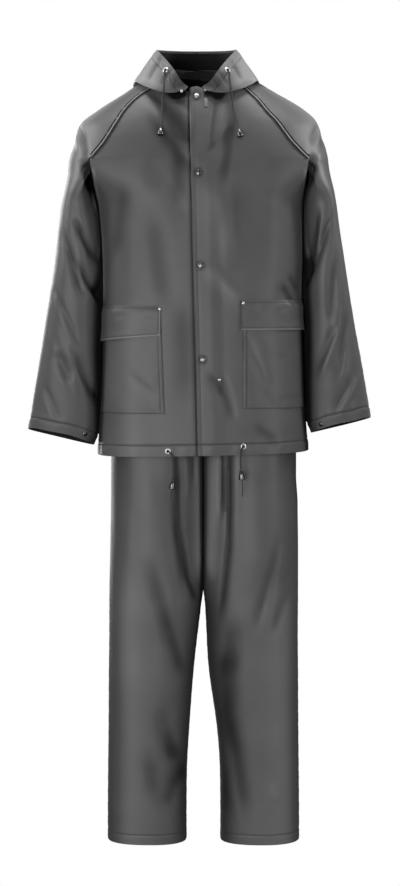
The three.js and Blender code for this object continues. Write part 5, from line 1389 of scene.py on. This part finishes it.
# A pocket or flap: its lift off the panel is a low dome for a pocket, and for a flap a slope
# that is sewn down at its top. Then its edges and stitched rows are pressed in.
def makePatch(kind, name):
    facts, form, isPocket = patches[name], patchForms[kind], kind == "pocket"
    shares = edgeShares(30, 150)
    heights = edgeShares(form["rows"], form["height"])[:, None] * np.ones(len(shares))
    if isPocket:
        z = mix(facts["bottom"], -455, heights)
        innerX = mix(*facts["innerX"], (z + 636) / 210)
    else:
        z = mix(mix(*facts["flapLow"], shares)[None], facts["flapTop"], heights)
        innerX = np.full(z.shape, facts["flapX"])
    creases = foldDepth(patchCreases[kind], innerX + facts["side"] * 146 * shares, z)
    if isPocket:
        lift = np.maximum(1.9 + 2.4 * np.sin(np.pi * heights) * np.sin(np.pi * shares)[None] - creases, 1.55)
    else:
        seated = smooth((1 - heights) / 0.22)
        lift = 1.9 + 3.1 * seated + 1.8 * smooth((0.45 - heights) / 0.45) - seated * creases
        lift = np.maximum(lift, mix(5.0, 1.7, smooth((heights - 0.5) / 0.45)))
    plain, _ = onCloth(facts["panel"], *patchPlaces(facts["panel"], z, innerX, form["outer"], shares), lift)
    x, z = plain[..., 0], plain[..., 2]
    fromInner, fromBottom = acrossDistance(plain), upDistance(plain)
    fromOuter, fromTop = fromInner[:, -1:] - fromInner, fromBottom[-1:] - fromBottom
    edge = np.minimum(np.minimum(fromInner, fromBottom), fromOuter)
    if isPocket:
        # painted shade on the pocket's edges, along its inner stitched line and beside the body's side
        fromSide = along(torso, "halfWidth", z) - facts["side"] * (x - jacketMiddle(z))
        tone = (0.6 * bump(edge, 0.9) + 0.5 * bump(fromInner - 8.2, 0.9) * (fromBottom > 4)
                + 0.9 * smooth((11 - fromSide) / 7))
    else:
        edge = np.minimum(edge, fromTop)
        # painted shade at the flap's stitched line, painted light along its lower edge, and along its inner
        # edge painted shade on the left flap and painted light on the right
        tone = (0.35 * bump(edge - 4.5, 0.8) - 0.45 * bump(fromBottom - 0.9, 1.3)
                + facts["flapEdgeShading"] * bump(fromInner - 0.9, 1.2))
    depth = sum(0.3 * bump(edge - at, 1.1) for at in form["stitches"]) + 0.5 * bump(edge, 0.9)
    puckers = np.sin(fromInner / 6 + fromBottom / 9) * np.sin(fromInner / 13.3)
    depth += 0.35 * puckers * bump(edge - 9, 6)
    surface = surfaceOf(plain, depth, tone=tone - litBand(x, z))
    clothShell(f"{kind}_{name}", surface, thickness=1.3)
    surface.update(full=surface["points"], out=surface["normals"], inner=fromInner, bottom=fromBottom,
                   top=fromTop, stitches=form["stitches"])
    return surface


pocketRight, pocketLeft, flapRight, flapLeft = (
    makePatch(kind, name) for kind in ("pocket", "flap") for name in ("right", "left"))
print("pockets are made")

# Raglan welts: a raised strip over each raglan seam, with a ridge between two stitched lines
weltShape = {"rows": 90, "columns": 19, "halfWidth": 6.4, "lift": 0.5, "thickness": 1.1, "ridge": 1.4,
             "lines": 3.9, "to": 0.955}


# A welt from the armpit's height up a body panel's column. It faces between the ways out of
# the panel and of the sleeve.
def makeWelt(node, panel, seamColumn, bodyWay, sleevePiece, sleeveColumn):
    halfWidth, lines = weltShape["halfWidth"], weltShape["lines"]
    at = np.linspace(0, weltShape["to"], weltShape["rows"]) * len(neckShares)
    rows = len(bodyRows) - 1 + at
    seam, out = onCloth(panel, rows, seamColumn)
    out = unit(out + onCloth(sleevePiece, len(sleeveRows) - 1 + at, sleeveColumn)[1])
    bodySide = onCloth(panel, rows, seamColumn + 1.5 * bodyWay)[0]
    across = unit(np.cross(unit(np.gradient(seam, axis=0)), out))
    across = across * np.sign(((bodySide - seam) * across).sum(-1, keepdims=True))
    offsets = np.linspace(-1, 1, weltShape["columns"]) * halfWidth
    fromMiddle = np.abs(offsets)
    height = (weltShape["lift"] + weltShape["thickness"] + weltShape["ridge"] * bump(offsets, 1.9)
              - 0.8 * bump(fromMiddle - lines, 1.0) - 0.3 * bump(fromMiddle - halfWidth, 0.8))
    # painted shade on the two stitched lines and painted light on the ridge between them
    tone = 1.3 * bump(offsets - lines, 2.2) + 1.3 * bump(offsets + lines + 0.3, 2.8)
    tone = np.minimum(tone, 1) - 0.95 * bump(offsets, 1.6)
    wave = 0.25 * np.sin(at * 2.3)[:, None] * bump(fromMiddle - 4.6, 2)
    points = seam[:, None] + across[:, None] * offsets[:, None] + out[:, None] * (height + wave)[..., None]
    normals = np.broadcast_to(out[:, None], points.shape).copy()
    cross = np.cross(points[1, 0] - points[0, 0], points[0, 1] - points[0, 0])
    surface = {"points": points, "normals": normals, "turned": bool(cross @ out[0] > 0), "tone": tone,
               "full": points, "out": normals}
    clothShell(node, surface, thickness=1.0)
    return surface


frontSeam, backSeam = (int(np.flatnonzero(np.isclose(columns, 1))[0]) for columns in (frontU, backU))
sleeveQuarters = np.cumsum(sleeveFacts["counts"])
welts = []
for side, name, front, ring in ((-1, "right", frontRight, sleeveRight), (1, "left", frontLeft, sleeveLeft)):
    welts.append(makeWelt(f"raglan_welt_{name}_front", front, frontSeam, -1, ring, sleeveQuarters[0]))
    welts.append(makeWelt(f"raglan_welt_{name}_back", backSurface, len(backU) - 1 + side * backSeam, -side,
                          ring, sleeveQuarters[2]))

# Neck loop: a narrow strip of the cloth, sewn down at its top, lying on the upper left front
loopShape = {"x": 9.5, "low": -43, "high": -25, "halfWidth": 3, "rows": 18, "columns": 9}
loopZ, loopAcross = np.meshgrid(
    np.linspace(loopShape["low"], loopShape["high"], loopShape["rows"]),
    np.linspace(-loopShape["halfWidth"], loopShape["halfWidth"], loopShape["columns"]), indexing="ij")
loopLift = 2.0 + 0.5 * np.sin(loopZ / 3.1) - 0.5 * bump(np.abs(loopAcross) - loopShape["halfWidth"], 0.8)
loopPlaces = findPlace(frontLeft, loopShape["x"] + loopAcross.ravel(), loopZ.ravel())
loopPoints, loopOut = (part.reshape(loopZ.shape + (3,))
                       for part in onCloth(frontLeft, *loopPlaces, loopLift.ravel()))
# painted light: the loop is a little paler than the front
loopSurface = {"points": loopPoints, "normals": loopOut, "turned": frontLeft["turned"], "tone": -0.3}
clothShell("neck_loop", loopSurface, thickness=1.1)

# Metal fastenings: turned profiles (radius, height), seated on the cloth
fastenings = {
    "snap": [(0, 2.1), (1.6, 2.05), (2.9, 1.75), (3.3, 1.45), (3.7, 1.5), (4.6, 1.3), (5.3, 0.8), (5.4, 0.3),
             (5.1, -0.1), (2.0, -0.3), (0, -0.3)],
    "cuffSnap": [(0, 1.75), (1.3, 1.7), (2.4, 1.45), (2.8, 1.15), (3.1, 1.2), (3.8, 1.0), (4.35, 0.6),
                 (4.4, 0.2), (4.1, -0.1), (1.6, -0.3), (0, -0.3)],
    "rivet": [(0, 1.35), (1.0, 1.28), (2.0, 1.0), (2.7, 0.55), (3.0, 0.15), (2.8, -0.1), (1.2, -0.3),
              (0, -0.3)],
    "eyelet": [(0, 0.15), (2.5, 0.15), (2.6, 0.3), (2.8, 0.9), (3.4, 1.35), (4.3, 1.45), (5.2, 1.1),
               (5.9, 0.5), (6.0, 0.1), (5.6, -0.1), (3.6, -0.4), (0, -0.6)]}
fastenerSides = 44
seats = {
    "rivet_neck_right": ("rivet", hoodRight, -27, -12), "rivet_neck_left": ("rivet", hoodLeft, 9, -12),
    "rivet_flap_right": ("rivet", flapRight, -79.5, -433), "rivet_flap_left": ("rivet", flapLeft, 81, -422),
    "rivet_front": ("rivet", frontLeft, 36, -570),
    "snap_cuff_right": ("cuffSnap", sleeveRight, -229, -680),
    "snap_cuff_left": ("cuffSnap", sleeveLeft, 237, -661),
    "eyelet_hood_right": ("eyelet", hoodRight, -69, 31), "eyelet_hood_left": ("eyelet", hoodLeft, 51.5, 31),
    "eyelet_hem_right": ("eyelet", frontRight, -64, -708), "eyelet_hem_left": ("eyelet", frontLeft, 82, -699)}
for number, snapZ in enumerate(snapHeights):
    seats[f"snap_front_{number + 1}"] = ("snap", frontLeft, float(closingX(snapZ)), snapZ)

for node, (kind, carrier, x, z) in seats.items():
    foot, out = onCloth(carrier, *findPlace(carrier, x, z))
    profile = np.array(fastenings[kind], float)
    keys = travelled(profile)
    fine = np.unique(np.concatenate([np.linspace(0, keys[-1], 34), keys]))
    radius, height = (np.interp(fine, keys, part) for part in profile.T)
    radius = np.maximum(radius, 0.02)
    points, faces = turnedShape(foot[0] + out[0] * 0.35, out[0], np.stack([radius, height], -1),
                                fastenerSides)
    # an eyelet's hole is closed by a black disc of the backing, as painted shade; the top snap alone is
    # bright nickel, with a painted shadow on its skirt; the other snaps are dark metal, as painted shade
    kinds = np.zeros(len(fine) - 1, int)
    if kind == "eyelet":
        kinds[(radius[:-1] < 2.55) & (radius[1:] < 2.65) & (height[:-1] > 0)] = 1
    if node == "snap_front_1":
        kinds[radius[:-1] > 4.5] = 2
    snapInPaintedShade = node.startswith("snap") and node != "snap_front_1"
    piece = meshObject(node + "_metal", points, faces, [darkMetal if snapInPaintedShade else nickel, backing, darkMetal],
                       np.repeat(kinds, fastenerSides), sharp=50)
    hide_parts(node)
print("fastenings are made")

# Stitching: short rounded stitches of twisted thread, half sunk, along the stitched lines
stitching = {"pitch": 3.4, "length": 2.4, "radius": 0.28, "sides": 5, "lift": 0.06}


# Row, with its fraction, at which each column's rising distance reaches a value.
def crossing(distance, value):
    first = np.maximum((np.nan_to_num(distance) >= value).argmax(0), 1)
    every = np.arange(distance.shape[1])
    low, high = distance[first - 1, every], distance[first, every]
    return first - 1 + np.clip((value - low) / np.maximum(high - low, 1e-6), 0, 1)


# Middles, headings and outward ways of the stitches of one row, at even distances.
def stitchPlaces(surface, i, j):
    i, j = np.broadcast_arrays(np.asarray(i, float), np.asarray(j, float))
    fine = np.linspace(0, len(i) - 1, (len(i) - 1) * 3 + 1)
    rows, columns = (np.interp(fine, np.arange(len(i)), way) for way in (i, j))
    line, out = onCloth(surface, rows, columns, stitching["lift"])
    distance = travelled(line)
    middles = np.arange(stitching["pitch"], distance[-1] - stitching["pitch"] / 2, stitching["pitch"])

    # values of the line at distances along it
    def at(values, where):
        return np.stack([np.interp(where, distance, column) for column in values.T], -1)

    return at(line, middles), unit(at(line, middles + 0.6) - at(line, middles - 0.6)), unit(at(out, middles))


# All stitches as one piece: a short tube of four rings for each, narrow at both ends.
def makeStitches(places):
    middle, ahead, out = (np.concatenate(parts) for parts in zip(*places))
    sides = stitching["sides"]
    ring = circleWays(out, unit(np.cross(ahead, out)), sides)
    lengthways = np.array([-0.5, -0.36, 0.36, 0.5]) * stitching["length"]
    radii = np.array([0.35, 1, 1, 0.35]) * stitching["radius"]
    points = (middle[:, None, None] + ahead[:, None, None] * lengthways[None, :, None, None]
              + ring[:, None] * radii[None, :, None, None])
    number = np.arange(len(middle) * 4 * sides).reshape(len(middle), 4, sides)
    quads = (number[:, 0, 0, None, None] + ringFaces(4, sides)).reshape(-1, 4)
    caps = np.concatenate([number[:, -1], number[:, 0, ::-1]])
    piece = meshObject("stitches", points.reshape(-1, 3), quads.tolist() + caps.tolist(), [thread], sharp=80)
    print("stitches", len(middle))


# A stitched row across a surface, where a distance that grows up it reaches a value.
def rowAcross(surface, distance, value, keep=slice(None)):
    rows = crossing(distance, value)
    return surface, rows[keep], np.arange(len(rows))[keep]


# A stitched row up a surface, where a distance that grows across it reaches a value.
def rowUp(surface, distance, value, keep=slice(None)):
    columns = crossing(distance.T, value)
    return surface, np.arange(len(columns))[keep], columns[keep]


stitchRows = [rowAcross(panel, upDistance(panel["points"]), hemBand)
              for panel in (frontLeft, frontRight, backSurface)]
lapAcross = acrossDistance(frontLeft["points"])
stitchRows += [rowUp(frontLeft, lapAcross, distance, slice(2, -3)) for distance in (3.6, 9.0)]
for rings, distance in (((sleeveLeft, sleeveRight), sleeveFacts["cuffStitch"]),
                        ((legLeft, legRight), trouserFacts["hemStitch"])):
    stitchRows += [rowAcross(ring, upDistance(ring["points"]), distance) for ring in rings]
stitchRows += [rowAcross(half, -half["fromEdge"], -hoodShape["channel"], slice(2, None))
               for half in (hoodLeft, hoodRight)]
weltMiddle = (weltShape["columns"] - 1) / 2
for welt in welts:
    for way in (-1, 1):
        column = weltMiddle * (1 + way * weltShape["lines"] / weltShape["halfWidth"])
        stitchRows.append((welt, np.arange(1, weltShape["rows"] - 1), column))
for patch in (pocketLeft, pocketRight, flapLeft, flapRight):
    for distance in patch["stitches"]:
        stitchRows.append(rowUp(patch, patch["inner"], distance, patch["bottom"][:, 4] > distance))
        stitchRows.append(rowAcross(patch, patch["bottom"], distance, patch["inner"][4] > distance))
stitchRows += [rowAcross(flap, -flap["top"], -flap["stitches"][0]) for flap in (flapLeft, flapRight)]
makeStitches([stitchPlaces(*row) for row in stitchRows])
# Floor: painted concrete, pale and even, below the trousers' hems; it adds no light of its own
# to the suit
floorFacts = {"half": 60, "height": -1.58}
floorPaint, floorTree = newMaterial("concrete_painted_white")
floorGlow = addNode(floorTree, "ShaderNodeEmission", values={"Color": (1, 1, 1, 1), "Strength": 1.0})
addNode(floorTree, "ShaderNodeOutputMaterial", links={"Surface": floorGlow.outputs[0]})
floorMesh = bpy.data.meshes.new("floor")
floorMesh.from_pydata([(x * floorFacts["half"], y * floorFacts["half"], floorFacts["height"])
                       for x, y in ((-1, -1), (1, -1), (1, 1), (-1, 1))], [], [(0, 1, 2, 3)])
floorMesh.materials.append(floorPaint)
floor = bpy.data.objects.new("floor", floorMesh)
bpy.context.scene.collection.objects.link(floor)
floor.visible_diffuse = False
floor.visible_glossy = False

# Light: large soft boxes in front and at both front corners, two small ones beside the
# shoulders, a broad one above, and a weak one behind
lamps = {
    "key_left": {"place": (-2.7, -3.5, -0.75), "aim": (0, 0, -0.8), "size": (1.2, 2.4), "power": 50},
    "front": {"place": (-1.0, -5.0, -0.95), "aim": (0, 0, -0.9), "size": (1.3, 2.4), "power": 112},
    "fill_right": {"place": (2.9, -3.3, -0.5), "aim": (0, 0, -0.7), "size": (1.2, 2.4), "power": 38},
    "rim_left": {"place": (-1.35, 0.15, 0.45), "aim": (-0.25, 0, -0.15), "size": (0.7, 1.0), "power": 15},
    "rim_right": {"place": (1.35, 0.1, 0.55), "aim": (0.25, 0, -0.12), "size": (0.7, 0.9), "power": 16},
    "top": {"place": (0, 0.2, 2.0), "aim": (0, 0, -0.1), "size": (2.0, 1.0), "power": 46},
    "back": {"place": (-1.5, 3.0, -0.3), "aim": (0, 0, -0.6), "size": (1.2, 2.0), "power": 34},
}
for name, lamp in lamps.items():
    light = bpy.data.lights.new(name, "AREA")
    light.shape = "RECTANGLE"
    light.size, light.size_y = lamp["size"]
    light.energy = lamp["power"]
    lampObject = bpy.data.objects.new(name, light)
    bpy.context.scene.collection.objects.link(lampObject)
    lampObject.location = lamp["place"]
    aim = Vector(lamp["aim"]) - Vector(lamp["place"])
    lampObject.rotation_euler = aim.to_track_quat("-Z", "Y").to_euler()

# World: white where the camera looks past the suit, pale grey as light
world = bpy.data.worlds.new("studio")
bpy.context.scene.world = world
world.use_nodes = True
tree = world.node_tree
tree.nodes.clear()
path = addNode(tree, "ShaderNodeLightPath")
glow, seen = (addNode(tree, "ShaderNodeBackground", values={"Color": (1, 1, 1, 1), "Strength": strength})
              for strength in (0.1, 1.0))
blend = addNode(tree, "ShaderNodeMixShader",
                links={"Fac": path.outputs["Is Camera Ray"], 1: glow.outputs[0], 2: seen.outputs[0]})
addNode(tree, "ShaderNodeOutputWorld", links={"Surface": blend.outputs[0]})
bpy.context.scene.view_settings.view_transform = "Standard"
